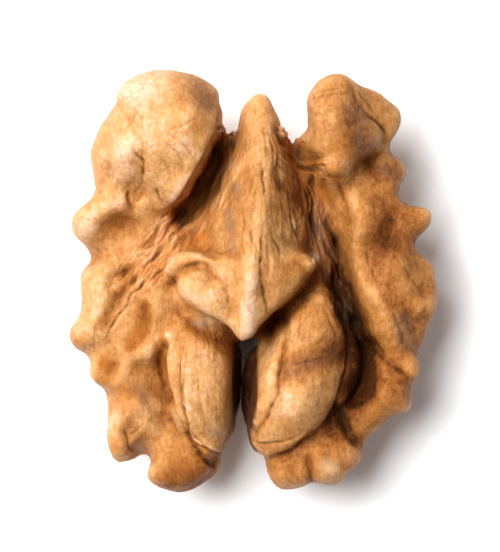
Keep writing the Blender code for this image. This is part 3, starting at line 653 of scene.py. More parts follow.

# %% [markdown]
# Last come the fold lines, cracks, wrinkles and veins that give each lobe its face. They are
# drawn one by one, because each has its own place and bend on this kernel.

# %% Creases: name, half width, lift, ink and painted shade, points
CREASES = [
    ("left ear, curl", 0.32, -0.07, 0.25, [(-9.4, 12.5), (-9.2, 11.8), (-8.8, 10.7)]),
    ("left ear, thread", 0.20, -0.06, 0.25, [(-8.2, 10.0), (-8.35, 8.7)]),
    ("left ear, cleft", 0.26, -0.15, 0.62,
     [(-9.0, 10.1), (-8.7, 9.4), (-8.2, 9.0), (-8.3, 8.2), (-8.3, 7.3)]),
    ("left ear, cleft foot", 0.22, -0.10, 0.5, [(-8.3, 7.6), (-8.7, 6.9), (-9.1, 6.5)]),
    ("left ear, orange thread", 0.22, -0.06, 0.4, [(-6.3, 11.2), (-5.4, 11.6), (-4.6, 12.0), (-4.0, 12.0)]),
    ("left ear, wrinkle", 0.20, -0.06, 0.28, [(-6.3, 10.2), (-5.6, 9.4), (-5.2, 8.4)]),
    ("left ear, second wrinkle", 0.20, -0.06, 0.28, [(-5.5, 10.6), (-4.9, 9.8), (-4.6, 9.0)]),
    ("left ear, third wrinkle", 0.20, -0.05, 0.25, [(-6.9, 9.4), (-6.4, 8.6), (-6.2, 7.6)]),
    ("left ear, neck", 0.29, -0.17, 0.43, [(-9.3, 7.0), (-9.35, 6.3), (-9.1, 5.5)]),
    ("left ear, neck branch", 0.23, -0.11, 0.31, [(-8.3, 6.7), (-8.6, 6.2), (-8.95, 5.9)]),
    ("left ear, bud", 0.32, -0.07, 0.19, [(-11.2, 10.0), (-10.8, 9.0), (-10.9, 8.0)]),
    ("left ear, lower tip", 0.25, -0.14, 0.50, [(-7.4, 7.1), (-7.0, 6.2), (-6.6, 5.6)]),
    ("left slab, groove", 0.32, -0.08, 0.19, [(-10.76, -0.4), (-10.36, 0.5), (-9.5, 0.84), (-8.95, 1.1)]),
    ("left slab, crack", 0.18, -0.19, 0.74,
     [(-7.95, 0.7), (-8.48, -0.37), (-9.15, -0.9), (-9.49, -1.7), (-9.96, -2.3), (-10.5, -3.05),
      (-10.8, -3.7), (-11.2, -4.5)]),
    ("left slab, strip", 0.20, -0.08, 0.19, [(-11.8, -3.0), (-11.95, -4.2), (-11.85, -5.4)]),
    ("toe, crease", 0.23, -0.10, 0.25, [(-9.9, -9.0), (-9.7, -9.7), (-9.85, -10.4)]),
    ("toe, stem", 0.25, -0.15, 0.37, [(-10.0, -11.05), (-9.43, -11.6), (-9.29, -12.3), (-9.0, -12.9)]),
    ("toe, branch", 0.23, -0.12, 0.31, [(-8.5, -10.8), (-8.86, -11.2), (-9.43, -11.6)]),
    ("thumb, cleft", 0.36, -0.19, 0.56,
     [(-6.67, -4.5), (-7.02, -5.5), (-7.0, -6.5), (-6.8, -7.75), (-6.5, -9.0)]),
    ("thumb, stitched strip", 0.20, -0.07, 0.25, [(-6.27, -7.6), (-5.9, -9.4), (-5.4, -10.6)]),
    ("thumb, step", 0.30, -0.18, 0.42,
     [(-5.4, -6.0), (-5.35, -8), (-5.2, -9.2), (-4.6, -11.3), (-4.05, -12.0), (-3.2, -12.6),
      (-2.2, -12.9)]),
    ("thumb, dotted crease", 0.34, -0.22, 0.62,
     [(-5.3, -10.6), (-4.77, -11.84), (-4.2, -12.6), (-3.6, -13.4), (-3.05, -13.85), (-2.54, -13.9)]),
    ("thumb, line", 0.16, -0.04, 0.25, [(-3.5, -7.6), (-3.4, -9.0), (-3.3, -10.3)]),
    ("thumb, second line", 0.16, -0.04, 0.25, [(-2.8, -8.4), (-2.75, -9.6), (-2.6, -10.6)]),
    ("heart, bowl", 0.36, -0.14, 0.37,
     [(-6.05, -0.15), (-5.72, 0.59), (-5.12, 1.15), (-4.43, 1.36), (-3.74, 1.3), (-3.31, 0.8),
      (-3.14, 0.16)]),
    ("heart, left of the keel", 0.27, -0.09, 0.19,
     [(-2.4, -0.25), (-2.0, -1.0), (-1.85, -1.65), (-1.67, -2.7)]),
    ("heart, keel line", 0.16, -0.03, 0.25, [(-1.07, -1.0), (-1.1, -2.6), (-1.0, -4.2)]),
    ("heart, keel edge", 0.24, -0.16, 0.75,
     [(0.75, 4.4), (0.62, 3.0), (0.6, 2.0), (0.57, 1.0), (0.65, -0.44), (0.91, -1.5), (1.17, -2.5)]),
    ("heart, second edge", 0.16, -0.08, 0.37, [(0.99, 3.2), (1.1, 1.6), (1.0, 0.2)]),
    ("root, crest crack", 0.22, -0.14, 0.70, [(0.54, 9.0), (0.64, 8.2), (0.75, 7.1), (0.85, 6.0)]),
    ("root, left crack", 0.20, -0.12, 0.65, [(-0.72, 5.0), (-0.7, 4.3), (-0.72, 3.75)]),
    ("root, left crack, low", 0.16, -0.09, 0.43, [(-0.41, 3.96), (-0.2, 3.3), (0.0, 2.7)]),
    ("root, right crack", 0.18, -0.10, 0.50, [(2.0, 6.1), (2.1, 5.6), (2.33, 5.0)]),
    ("root, right crack, long", 0.22, -0.15, 0.70, [(2.64, 5.3), (2.9, 4.5), (3.17, 3.75), (3.38, 3.0)]),
    ("root, low crack", 0.20, -0.14, 0.70, [(1.38, 3.5), (1.6, 3.0), (1.9, 2.5), (2.0, 1.75)]),
    ("root, left fleck", 0.16, -0.07, 0.37, [(-2.2, 3.2), (-2.2, 2.5)]),
    ("torn zone, crack", 0.23, -0.17, 0.62, [(-6.3, 2.9), (-6.1, 3.5), (-5.7, 3.7)]),
    ("torn zone, second crack", 0.23, -0.17, 0.62, [(-5.74, 3.45), (-5.34, 4.2), (-5.2, 4.7)]),
    ("torn zone, third crack", 0.20, -0.14, 0.56, [(-7.1, 4.4), (-6.6, 5.0)]),
    ("leaf, strip groove", 0.29, -0.17, 0.56,
     [(2.29, -3.0), (2.37, -3.7), (2.1, -5.2), (2.0, -6.1), (1.83, -7.5), (1.75, -8.4), (1.35, -9.3),
      (0.78, -10.4), (0.21, -11.2), (-0.04, -11.8)]),
    ("leaf, second line", 0.18, -0.07, 0.25, [(3.6, -2.2), (3.4, -3.5), (3.2, -4.7)]),
    ("leaf, vein", 0.16, -0.04, 0.31, [(2.6, -6.4), (3.2, -6.16), (4.0, -5.9), (4.84, -5.8), (5.66, -5.6)]),
    ("leaf, toe crease", 0.23, -0.12, 0.50,
     [(-0.3, -11.7), (0.1, -12.0), (0.6, -12.13), (1.75, -12.05), (2.4, -11.9), (3.2, -11.6),
      (3.9, -11.0)]),
    ("under layer, crease", 0.27, -0.17, 0.50,
     [(6.75, -3.4), (7.05, -4.6), (7.0, -6.4), (6.5, -8.0), (6.0, -9.3)]),
    ("bottom right, diagonal", 0.36, -0.17, 0.50, [(6.6, -9.9), (7.0, -10.8), (7.77, -11.8)]),
    ("bottom right, between lobes", 0.32, -0.12, 0.31, [(4.0, -13.2), (4.2, -14.2), (4.5, -15.35)]),
    ("bottom right, under the leaf", 0.36, -0.17, 0.43,
     [(1.0, -13.4), (2.4, -12.9), (3.8, -12.0), (5.0, -11.0)]),
    ("right ear, band", 0.23, -0.06, 0.37,
     [(4.0, 13.3), (4.6, 13.7), (5.5, 13.95), (6.3, 13.99), (7.24, 13.9)]),
    ("right ear, second band", 0.18, -0.04, 0.31, [(4.1, 13.75), (4.7, 14.1), (5.7, 14.25), (6.6, 14.5)]),
    ("right ear, lower band", 0.20, -0.03, 0.15, [(3.9, 12.7), (4.6, 13.0), (5.6, 13.1)]),
    ("right ear, seam", 0.23, -0.12, 0.62,
     [(6.9, 15.0), (7.44, 14.3), (7.5, 13.9), (7.77, 13.25), (8.24, 12.7), (8.84, 12.25), (9.38, 11.78),
      (9.85, 11.17), (9.88, 10.5)]),
    ("right ear, second seam", 0.18, -0.07, 0.50, [(7.64, 14.4), (8.3, 13.6), (8.78, 12.9), (9.25, 12.45)]),
    ("right ear, low crease", 0.20, -0.07, 0.25, [(7.44, 10.77), (7.77, 10.0)]),
    ("right ear, tip", 0.27, -0.14, 0.50, [(5.0, 9.0), (5.4, 8.2), (6.0, 7.4)]),
    ("right neck, cleft", 0.29, -0.15, 0.56, [(6.1, 7.7), (6.4, 7.2), (6.7, 6.4), (6.8, 5.6)]),
    ("right hump, thread", 0.16, -0.04, 0.31, [(8.9, 6.2), (9.1, 5.2), (9.0, 4.6)]),
    ("right mass, vein", 0.20, -0.08, 0.37, [(8.5, 2.4), (8.66, 1.28), (9.12, 0.28), (9.5, -0.48)]),
    ("right mass, lower vein", 0.23, -0.09, 0.43, [(10.2, -1.6), (10.6, -2.6), (11.0, -3.6), (11.3, -4.9)]),
    ("right mass, second line", 0.18, -0.06, 0.25,
     [(10.5, 1.96), (11.5, 0.74), (12.26, -0.33), (13.0, -0.87)]),
    ("right lower, crease", 0.27, -0.14, 0.50, [(8.8, -4.6), (9.6, -5.7), (10.6, -6.5), (11.8, -7.5)]),
    ("finger, line", 0.18, -0.04, 0.31, [(12.2, 4.2), (12.75, 4.4), (13.0, 4.9)]),
]

for _, width, lift, ink_and_painted_shade, points in CREASES:
    crease(width, lift, ink_and_painted_shade, points)
clay.settle()
print("creases:", len(CREASES))

# %% [markdown]
# ## Stains, painted shade and painted light
#
# The skin dries to straw on the parts that stood proud and were rubbed, and to orange-brown in
# the folds. Some places carry a grey bloom. Many shade strokes also paint light and shade: darker
# in valleys, under overhangs and on sides turned away from the softbox, lighter on sides that the
# light misses. Broad strokes say where, lobe by lobe, and noise breaks them up afterwards. A
# negative shade makes a place lighter.

# %% Stains: place, amount, how much, half width, points
STAINS = [
    ("left ear", "dried_tone_and_painted_shade", -0.18, 5.0, [(-8.5, 11.5), (-9.5, 8.5)]),
    # Painted light: the ear's top slopes away from the softbox and is lightened.
    ("left ear, top", "dried_tone_and_painted_shade", -0.22, 2.4, [(-8.5, 14.6), (-6.6, 14.9)]),
    ("left ear, top right", "dried_tone_and_painted_shade", 0.22, 1.9, [(-5.2, 14.6), (-3.4, 13.2)]),
    ("left ear, top right", "ash", 0.24, 1.4, [(-4.6, 14.2), (-3.6, 13.0)]),
    ("left ear, inner side", "dried_tone_and_painted_shade", -0.12, 2.0, [(-5.2, 9.6)]),
    ("left ear, orange thread", "rust", 0.5, 1.2, [(-5.8, 11.4), (-4.2, 11.8)]),
    ("left ear, cleft", "rust", 0.5, 0.9, [(-8.8, 9.4), (-8.4, 8.6)]),
    ("left ear, side lobe", "pale_and_painted_highlight", 0.3, 1.6, [(-9.6, 9.8)]),
    ("left ear, bud", "rust", 0.4, 0.8, [(-11.4, 8.6)]),
    ("left knob", "dried_tone_and_painted_shade", -0.15, 2.4, [(-12.6, 4.4)]),
    ("left knob, bowl", "dried_tone_and_painted_shade", 0.12, 1.5, [(-10.4, 4.0), (-9.6, 4.5)]),
    ("left torn zone", "dried_tone_and_painted_shade", -0.12, 2.0, [(-8.2, 2.2), (-5.2, 4.6)]),
    ("left torn zone", "rust", 0.6, 2.6, [(-8.4, 1.2), (-6.6, 3.4), (-5.0, 5.2)]),
    # Painted shadow in the valley that the left ear shades.
    ("left valley", "dried_tone_and_painted_shade", 0.10, 1.4, [(-3.2, 10.2), (-4.2, 7.6), (-5.6, 5.4)]),
    ("left valley", "rust", 0.9, 2.0, [(-2.2, 9.6), (-3.4, 6.4), (-4.2, 3.6)]),
    ("left side", "dried_tone_and_painted_shade", -0.12, 3.5, [(-12.2, -0.5), (-13.0, -4.5), (-10.5, -10.0)]),
    ("left slab, trough", "dried_tone_and_painted_shade", 0.18, 0.9, [(-9.4, 0.2), (-10.2, -1.4), (-11.0, -3.0)]),
    ("left slab, middle of the trough", "dried_tone_and_painted_shade", 0.10, 1.0, [(-9.9, -1.0)]),
    ("left slab, tip", "dried_tone_and_painted_shade", 0.25, 1.3, [(-13.2, -4.6)]),
    ("left slab, tip", "rust", 0.3, 1.4, [(-13.2, -4.6)]),
    ("left plain, dent", "dried_tone_and_painted_shade", 0.28, 0.9, [(-8.1, -2.0), (-8.3, -3.6), (-9.0, -4.8)]),
    ("left plain, dent", "rust", 0.5, 1.3, [(-8.3, -2.4), (-9.0, -4.4)]),
    ("left corner", "dried_tone_and_painted_shade", 0.15, 1.4, [(-11.2, -6.8)]),
    ("left corner, around it", "dried_tone_and_painted_shade", 0.12, 1.6, [(-11.2, -6.8)]),
    ("left corner, hollow", "dried_tone_and_painted_shade", 0.15, 1.1, [(-10.9, -6.2)]),
    ("left corner, hollow", "rust", 0.5, 1.2, [(-10.9, -6.0)]),
    ("left lower edge", "rust", 0.5, 1.6, [(-11.3, -7.2), (-9.6, -9.6), (-10.2, -12.4)]),
    ("hollow inside the diagonal", "dried_tone_and_painted_shade", 0.30, 1.8, [(-8.9, -8.2)]),
    ("hollow inside the diagonal", "ash", 0.24, 1.0, [(-8.6, -8.0), (-7.8, -9.4)]),
    ("toe, left lobe", "dried_tone_and_painted_shade", 0.12, 1.6, [(-10.2, -12.6)]),
    ("toe", "dried_tone_and_painted_shade", 0.32, 2.6, [(-5.8, -14.8), (-4.0, -14.4)]),
    ("toe, around it", "dried_tone_and_painted_shade", 0.10, 3.0, [(-5.5, -14.5)]),
    ("toe", "rust", 0.35, 2.0, [(-5.4, -14.2)]),
    ("thumb", "dried_tone_and_painted_shade", -0.15, 2.2, [(-3.9, -6.5), (-3.9, -9.0)]),
    ("thumb, right side", "dried_tone_and_painted_shade", 0.08, 2.0, [(-3.4, -7.4), (-3.2, -9.4)]),
    ("thumb, cleft", "rust", 0.7, 0.8, [(-7.0, -5.4), (-6.9, -7.2)]),
    ("thumb, foot", "ash", 0.30, 1.0, [(-2.9, -11.3)]),
    ("heart, whole", "dried_tone_and_painted_shade", -0.12, 3.0, [(-4.0, -1.0), (-0.5, -2.0)]),
    ("heart, keel", "dried_tone_and_painted_shade", -0.14, 0.9, [(-0.2, 1.4), (-0.4, -3.6)]),
    ("heart, left bowl", "dried_tone_and_painted_shade", 0.10, 1.2, [(-4.6, 0.6)]),
    ("heart, left puff", "pale_and_painted_highlight", 0.4, 0.9, [(-4.0, -2.9), (-3.0, -3.0)]),
    # Painted shade on the wing, which faces away from the softbox.
    ("heart, right wing", "dried_tone_and_painted_shade", 0.18, 1.3, [(2.4, 0.6), (3.5, 1.0)]),
    ("heart, right wing tip", "dried_tone_and_painted_shade", 0.10, 1.0, [(3.4, 1.4)]),
    ("heart, chip on the wing tip", "pale_and_painted_highlight", 0.6, 0.6, [(4.7, 1.8)]),
    ("heart, chip at the point", "pale_and_painted_highlight", 0.5, 0.5, [(-0.7, -4.3)]),
    # Painted shadow under the heart's overhanging edge, on both sides.
    ("under the heart, left", "dried_tone_and_painted_shade", 0.25, 1.1, [(-4.6, -3.3), (-3.2, -4.0), (-1.8, -4.9)]),
    ("under the heart, left", "rust", 0.5, 1.6, [(-4.6, -3.6), (-2.4, -5.0)]),
    ("under the heart, right", "dried_tone_and_painted_shade", 0.30, 1.2, [(1.0, -3.7), (2.8, -2.0), (4.2, -0.4)]),
    ("root, crest", "dried_tone_and_painted_shade", 0.10, 1.2, [(0.2, 8.0), (-0.1, 6.0)]),
    ("root, left flank", "dried_tone_and_painted_shade", 0.12, 1.5, [(-1.6, 7.4), (-1.8, 4.0)]),
    ("root, left foot", "dried_tone_and_painted_shade", -0.14, 1.5, [(-1.8, 8.4), (-3.0, 5.0), (-2.6, 3.2)]),
    ("root, left flank", "ash", 0.42, 0.6, [(-1.25, 7.1), (-1.25, 6.2)]),
    ("root, left foot", "ash", 0.42, 0.7, [(-1.8, 5.2), (-1.7, 2.6)]),
    ("root, right flank", "dried_tone_and_painted_shade", 0.20, 1.6, [(2.0, 9.0), (2.6, 5.6)]),
    # Painted light on the steep right side of the root.
    ("root, right edge", "dried_tone_and_painted_shade", -0.32, 1.2, [(1.9, 11.2), (2.1, 8.4)]),
    ("root, right foot", "dried_tone_and_painted_shade", -0.14, 1.2, [(2.4, 3.4), (2.6, 2.2)]),
    ("right web", "dried_tone_and_painted_shade", 0.38, 1.5, [(2.2, 10.4), (3.8, 8.8)]),
    ("right web, middle", "dried_tone_and_painted_shade", 0.20, 1.2, [(2.9, 9.8), (4.3, 8.7)]),
    ("right web", "rust", 0.8, 1.8, [(2.2, 10.2), (3.6, 8.6), (5.0, 7.6)]),
    ("right ear", "dried_tone_and_painted_shade", 0.08, 3.0, [(6.2, 13.0), (6.8, 10.8)]),
    ("right ear, top", "dried_tone_and_painted_shade", 0.10, 2.6, [(6.0, 14.4), (9.8, 13.0)]),
    ("right ear, flap", "dried_tone_and_painted_shade", 0.28, 1.8, [(7.4, 11.8), (8.2, 9.8)]),
    ("right ear, flap", "ash", 0.25, 1.8, [(7.6, 12.6), (8.4, 10.6)]),
    ("right ear, middle", "rust", 0.4, 1.2, [(6.6, 10.0)]),
    ("right ear, tongue", "dried_tone_and_painted_shade", 0.18, 1.0, [(6.2, 8.4), (6.6, 7.4)]),
    ("right ear, tongue", "rust", 0.4, 1.2, [(6.2, 8.4), (6.6, 7.4)]),
    ("right bump", "dried_tone_and_painted_shade", 0.18, 1.8, [(10.4, 8.6), (9.4, 8.4)]),
    ("right bump, edge", "dried_tone_and_painted_shade", 0.22, 1.2, [(10.4, 8.3)]),
    ("right bump", "ash", 0.35, 1.4, [(10.2, 8.6)]),
    ("hollow beside the right hump", "dried_tone_and_painted_shade", 0.14, 1.8, [(9.9, 4.6), (9.8, 2.6)]),
    ("hollow beside the right hump, foot", "dried_tone_and_painted_shade", 0.06, 1.6, [(9.8, 3.2)]),
    ("finger", "dried_tone_and_painted_shade", 0.18, 1.4, [(12.2, 4.8)]),
    # Darker towards the right: partly the skin's own tone, partly painted shade on the side away from the
    # softbox.
    ("right side", "dried_tone_and_painted_shade", 0.22, 4.5, [(9.8, 5.0), (10.8, 0.5), (10.8, -5.0), (9.5, -9.0)]),
    ("right mass", "dried_tone_and_painted_shade", -0.10, 1.6, [(11.8, 0.4)]),
    ("right mass, knob", "ash", 0.30, 1.0, [(13.4, -1.7)]),
    ("right mass, hollow", "ash", 0.30, 1.2, [(11.2, -3.0), (11.4, -4.6)]),
    ("right lower, block", "dried_tone_and_painted_shade", 0.25, 1.6, [(10.4, -8.4)]),
    # Painted shadow in the deep valley right of the leaf.
    ("right valley", "dried_tone_and_painted_shade", 0.30, 2.0,
     [(4.2, 6.4), (5.2, 3.0), (6.4, -0.5), (7.4, -3.4), (8.2, -6.0), (7.6, -8.8), (6.2, -10.2)]),
    ("right valley, lower half", "dried_tone_and_painted_shade", 0.45, 1.3, [(6.7, -0.8), (7.3, -3.0), (8.1, -5.0), (8.3, -8.2)]),
    ("right valley, middle", "dried_tone_and_painted_shade", 0.28, 1.3, [(6.4, -0.6), (7.1, -3.0)]),
    ("right valley, top", "rust", 0.5, 1.2, [(4.9, 6.6), (5.6, 6.4)]),
    ("right valley, upper floor", "ash", 0.35, 1.4, [(4.8, 4.6), (5.6, 2.2)]),
    # Painted shade on the under layer, beneath the leaf's edge.
    ("under layer", "dried_tone_and_painted_shade", 0.30, 0.9, [(7.1, -4.2), (7.6, -6.0), (7.35, -7.8)]),
    ("leaf, upper swelling", "dried_tone_and_painted_shade", 0.20, 2.2, [(4.8, -3.2)]),
    ("leaf, band", "dried_tone_and_painted_shade", 0.25, 1.8, [(2.8, -6.4), (4.4, -5.9), (6.2, -5.3)]),
    ("leaf, band", "ash", 0.15, 1.2, [(2.6, -6.9), (5.6, -5.8)]),
    ("leaf, strip", "dried_tone_and_painted_shade", -0.16, 0.8, [(1.2, -5.2), (1.0, -7.6)]),
    ("leaf, strip groove", "ash", 0.24, 0.9, [(1.9, -8.8), (1.6, -9.8)]),
    ("leaf, lower swelling", "dried_tone_and_painted_shade", -0.12, 2.0, [(2.6, -9.2)]),
    ("leaf, spot near the toe", "rust", 0.6, 0.9, [(2.65, -10.55)]),
    ("leaf, chip beside the slit", "pale_and_painted_highlight", 0.5, 0.35, [(0.13, -7.7)]),
    ("bottom right", "dried_tone_and_painted_shade", 0.22, 3.0, [(2.5, -14.0), (7.0, -13.0)]),
    ("bottom right, diagonal groove", "dried_tone_and_painted_shade", 0.25, 1.8, [(6.6, -11.2)]),
    # Painted highlight on the lit top of the lobe.
    ("bottom right, right lobe", "pale_and_painted_highlight", 0.4, 1.3, [(5.6, -14.1)]),
    ("bottom right, far lobe", "ash", 0.24, 1.4, [(7.6, -13.2)]),
]

for _, name, amount, width, points in STAINS:
    paint(name, width, amount, points)
print("stains:", len(STAINS))

# %% [markdown]
# Where the skin lies below its surroundings it gets painted shade, and a little more ink in the
# finest crevices. Averaging the points with their neighbours many times gives those surroundings, a
# few rounds the near ones and many rounds the far ones, and the height below them along the normal
# tells how deep a place lies.

# %% Painted shade in hollows, and mottling
NEAR_ROUNDS = 6
FAR_ROUNDS = 120


def depth_below(rounds, scale):
    """How far a point lies below the average of its surroundings, from -1 to 1."""
    below = ((clay.spread(clay.points, rounds) - clay.points) * clay.normals).sum(axis=1)
    return np.clip(below / scale, -1, 1)


near_depth = depth_below(NEAR_ROUNDS, 0.06)
far_depth = depth_below(FAR_ROUNDS, 0.45)
mottle = np.array([noise.fractal(Vector(p) / 1.6, 0.7, 2.2, 4) for p in clay.points.tolist()])
patches = soft_noise(1.1, (9, 2, 5))

# Painted shade: hollows far and near get darker; the base tone and the mottle are the skin's own.
amounts["dried_tone_and_painted_shade"] += 0.43 + 0.24 * far_depth + 0.12 * near_depth + 0.08 * mottle
# Painted shade in the finest crevices, added as ink.
amounts["ink_and_painted_shade"] += 0.4 * np.clip(near_depth - 0.45, 0, 1)
for name in ("rust", "ash", "pale_and_painted_highlight"):
    amounts[name] *= np.clip(0.75 + 0.9 * patches, 0, 1.4)
print("shade from", round(float(amounts["dried_tone_and_painted_shade"].min()), 2), "to", round(float(amounts["dried_tone_and_painted_shade"].max()), 2))

# %% [markdown]
# The walls of the slit get painted shade in the ink colour, so the slit looks dark from above. It
# goes where the skin is steep, close to the slit's middle line and below its rim.

# %% Painted shade on the walls of the slit
SLIT_RIM = 11.0
SLIT_PAINTED_SHADE = 1.2

x, y, z = clay.points.T
between = (y < SLIT_ENDS[1] + 0.3) & (y > SLIT_ENDS[0] - 0.8) & (z < SLIT_RIM)
steep = np.clip((0.75 - clay.normals[:, 2]) / 0.3, 0, 1)
close = np.clip((1.05 - abs(x - SLIT_X)) / 0.25, 0, 1)
# Painted shade on the slit's walls.
amounts["ink_and_painted_shade"] += SLIT_PAINTED_SHADE * between * steep * close
print("points inked in the slit:", int((between * steep * close > 0).sum()))

# %% [markdown]
# The amounts are stored on the mesh as attributes, one number per point, and the strands as one
# vector per point. The shader reads them by name.

# %% Attributes
for name, values in amounts.items():
    layer = clay.mesh.attributes.new(name, "FLOAT", "POINT")
    layer.data.foreach_set("value", np.clip(values, 0, 1).astype(np.float32))
layer = clay.mesh.attributes.new("strand", "FLOAT_VECTOR", "POINT")
layer.data.foreach_set("vector", strand.astype(np.float32).ravel())
print("attributes:", len(amounts) + 1)

# %% [markdown]
# Carving may have pushed the foot a hair into the table, so the lowest points are raised until
# they clear it. The mesh has more triangles than it needs: Decimate takes away those that lie
# nearly flat and keeps the ones that a crack or a fibre bends. It carries the attributes over.

# %% Kernel object
TABLE_GAP = 0.01
SHARE_KEPT = 0.64

clay.points[:, 2] = np.maximum(clay.points[:, 2], TABLE_GAP)
clay.settle()
kernel = bpy.data.objects.new("kernel", mesh_with(clay.mesh, ("DECIMATE", {"ratio": SHARE_KEPT})))
kernel.data.name = "kernel"
scene.collection.objects.link(kernel)
kernel.data.shade_smooth()
print("kernel:", sum(len(face.vertices) - 2 for face in kernel.data.polygons), "triangles")

# %% [markdown]
# ## The seed skin
#
# The skin is a dry, papery film that grew over the seed and shrank onto it as it dried. It is
# thin enough that a little light goes through it into the pale flesh. It is dull, with a faint
# sheen where it was rubbed smooth. Its colour runs from straw to burnt brown along one ramp, and
# fine noise adds the grain that a hand lens would show.
#
# The patterns read Object coordinates, turned into millimetres. Every one of them is given as
# the real width of its grains, and its scale is one divided by that width.

# %% Grain, streaks and specks of the walnut seed skin, air-dried and rubbed
GRAIN_WIDTH = 0.526
STREAK_WIDTHS = (0.238, 0.667, 0.417)
SPECK_WIDTH = 0.294

skin = bpy.data.materials.new("walnut_seed_skin_dried")
skin.use_nodes = True
tree = skin.node_tree
shader = tree.nodes["Principled BSDF"]
amount = {name: add_node(tree, "ShaderNodeAttribute", {"attribute_name": name}) for name in amounts}

position = add_node(tree, "ShaderNodeTexCoord").outputs["Object"]
in_mm = add_node(
    tree, "ShaderNodeVectorMath", {"operation": "SCALE"}, {0: position, "Scale": 1 / MM}
).outputs[0]
grain = add_node(
    tree, "ShaderNodeTexNoise", None,
    {"Vector": in_mm, "Scale": 1 / GRAIN_WIDTH, "Detail": 7.0, "Roughness": 0.74},
)
streaked = add_node(
    tree, "ShaderNodeVectorMath", {"operation": "DIVIDE"}, {0: in_mm, 1: STREAK_WIDTHS}
)
streaks = add_node(
    tree, "ShaderNodeTexNoise", None,
    {"Vector": streaked.outputs[0], "Scale": 1.0, "Detail": 4.0, "Roughness": 0.7},
)
specks = add_node(
    tree, "ShaderNodeTexNoise", None,
    {"Vector": in_mm, "Scale": 1 / SPECK_WIDTH, "Detail": 2.0, "Roughness": 0.5},
)
few_specks = add_node(
    tree, "ShaderNodeMapRange", None,
    {"Value": specks.outputs[0], "From Min": 0.60, "From Max": 0.74},
)
print("amounts that the shader reads:", len(amount))

# %% [markdown]
# Fine veins run through the skin in a winding net. The edges between the cells of a Voronoi
# pattern make such a net, and a soft noise bends it and wipes it out here and there.

# %% Veins
VEIN_CELL = 2.94
VEIN_BEND = 3.0
BEND_WIDTH = 1.43

bent = add_node(
    tree, "ShaderNodeTexNoise", None,
    {"Vector": in_mm, "Scale": 1 / BEND_WIDTH, "Detail": 3.0, "Roughness": 0.6},
)
winding = add_node(
    tree, "ShaderNodeVectorMath", {"operation": "MULTIPLY_ADD"},
    {0: bent.outputs["Color"], 1: (VEIN_BEND, VEIN_BEND, VEIN_BEND), 2: in_mm},
)
cells = add_node(
    tree, "ShaderNodeTexVoronoi", {"feature": "DISTANCE_TO_EDGE"},
    {"Vector": winding.outputs[0], "Scale": 1 / VEIN_CELL},
)
thin_lines = add_node(
    tree, "ShaderNodeMapRange", None,
    {"Value": cells.outputs["Distance"], "From Max": 0.05, "To Min": 1.0, "To Max": 0.0},
)
here_and_there = add_node(
    tree, "ShaderNodeMapRange", None,
    {"Value": bent.outputs[0], "From Min": 0.44, "From Max": 0.56},
)
veins = add_node(
    tree, "ShaderNodeMath", {"operation": "MULTIPLY"},
    {0: thin_lines.outputs[0], 1: here_and_there.outputs[0]},
)
print("vein cells, mm:", VEIN_CELL)

# %% [markdown]
# On the torn zones the strand attribute says how far a point lies across and along the fibres.
# Noise on it is narrow across and long along, which draws threads that follow every bend.

# %% Threads
THREAD_WIDTHS = (0.208, 1.389, 0.833)
THREAD_CONTRAST = 1.2

strands = add_node(tree, "ShaderNodeAttribute", {"attribute_name": "strand"})
stretched = add_node(
    tree, "ShaderNodeVectorMath", {"operation": "DIVIDE"},
    {0: strands.outputs["Vector"], 1: THREAD_WIDTHS},
)
threads = add_node(
    tree, "ShaderNodeTexNoise", None,
    {"Vector": stretched.outputs[0], "Scale": 1.0, "Detail": 5.0, "Roughness": 0.6},
)
thread_tone = add_node(
    tree, "ShaderNodeMath", {"operation": "MULTIPLY_ADD"},
    {0: threads.outputs[0], 1: THREAD_CONTRAST, 2: -THREAD_CONTRAST / 2},
)
thread_part = add_node(
    tree, "ShaderNodeMath", {"operation": "MULTIPLY"},
    {0: thread_tone.outputs[0], 1: amount["fibre"].outputs["Fac"]},
)
print("threads, mm wide and long:", THREAD_WIDTHS[:2])

# %% [markdown]
# The dried shade with its painted shade and light, grain, streaks and threads add up to one tone,
# from 0 for pale to 1 for dark. Noise averages a half, so half of each contrast is taken off again,
# and the mean tone stays the shade.

# %% Tone
GRAIN_CONTRAST = 0.55
STREAK_CONTRAST = 0.44

grain_tone = add_node(
    tree, "ShaderNodeMath", {"operation": "MULTIPLY_ADD"},
    {0: grain.outputs[0], 1: GRAIN_CONTRAST, 2: -(GRAIN_CONTRAST + STREAK_CONTRAST) / 2},
)
streak_tone = add_node(
    tree, "ShaderNodeMath", {"operation": "MULTIPLY_ADD"},
    {0: streaks.outputs[0], 1: STREAK_CONTRAST, 2: grain_tone.outputs[0]},
)
with_grain = add_node(
    tree, "ShaderNodeMath", {"operation": "ADD"},
    {0: amount["dried_tone_and_painted_shade"].outputs["Fac"], 1: streak_tone.outputs[0]},
)
tone_with_painted_shade = add_node(
    tree, "ShaderNodeMath", {"operation": "ADD"},
    {0: with_grain.outputs[0], 1: thread_part.outputs[0]},
).outputs[0]
print("grain and streaks move the tone by up to", (GRAIN_CONTRAST + STREAK_CONTRAST) / 2)

# %% [markdown]
# One ramp turns the tone into straw, tan, russet and burnt brown. Each painted amount then lays
# its own colour over it, ink last, since a crack stays dark whatever lies around it, and so does the
# painted shade that the ink colour also carries. The pale colour also carries painted highlights.
# Specks and veins come on top, thinly.

# %% Colour
RAMP = {0.05: "#DAB192", 0.26: "#C8935A", 0.50: "#A96E34", 0.72: "#7A441A", 0.95: "#42220C"}
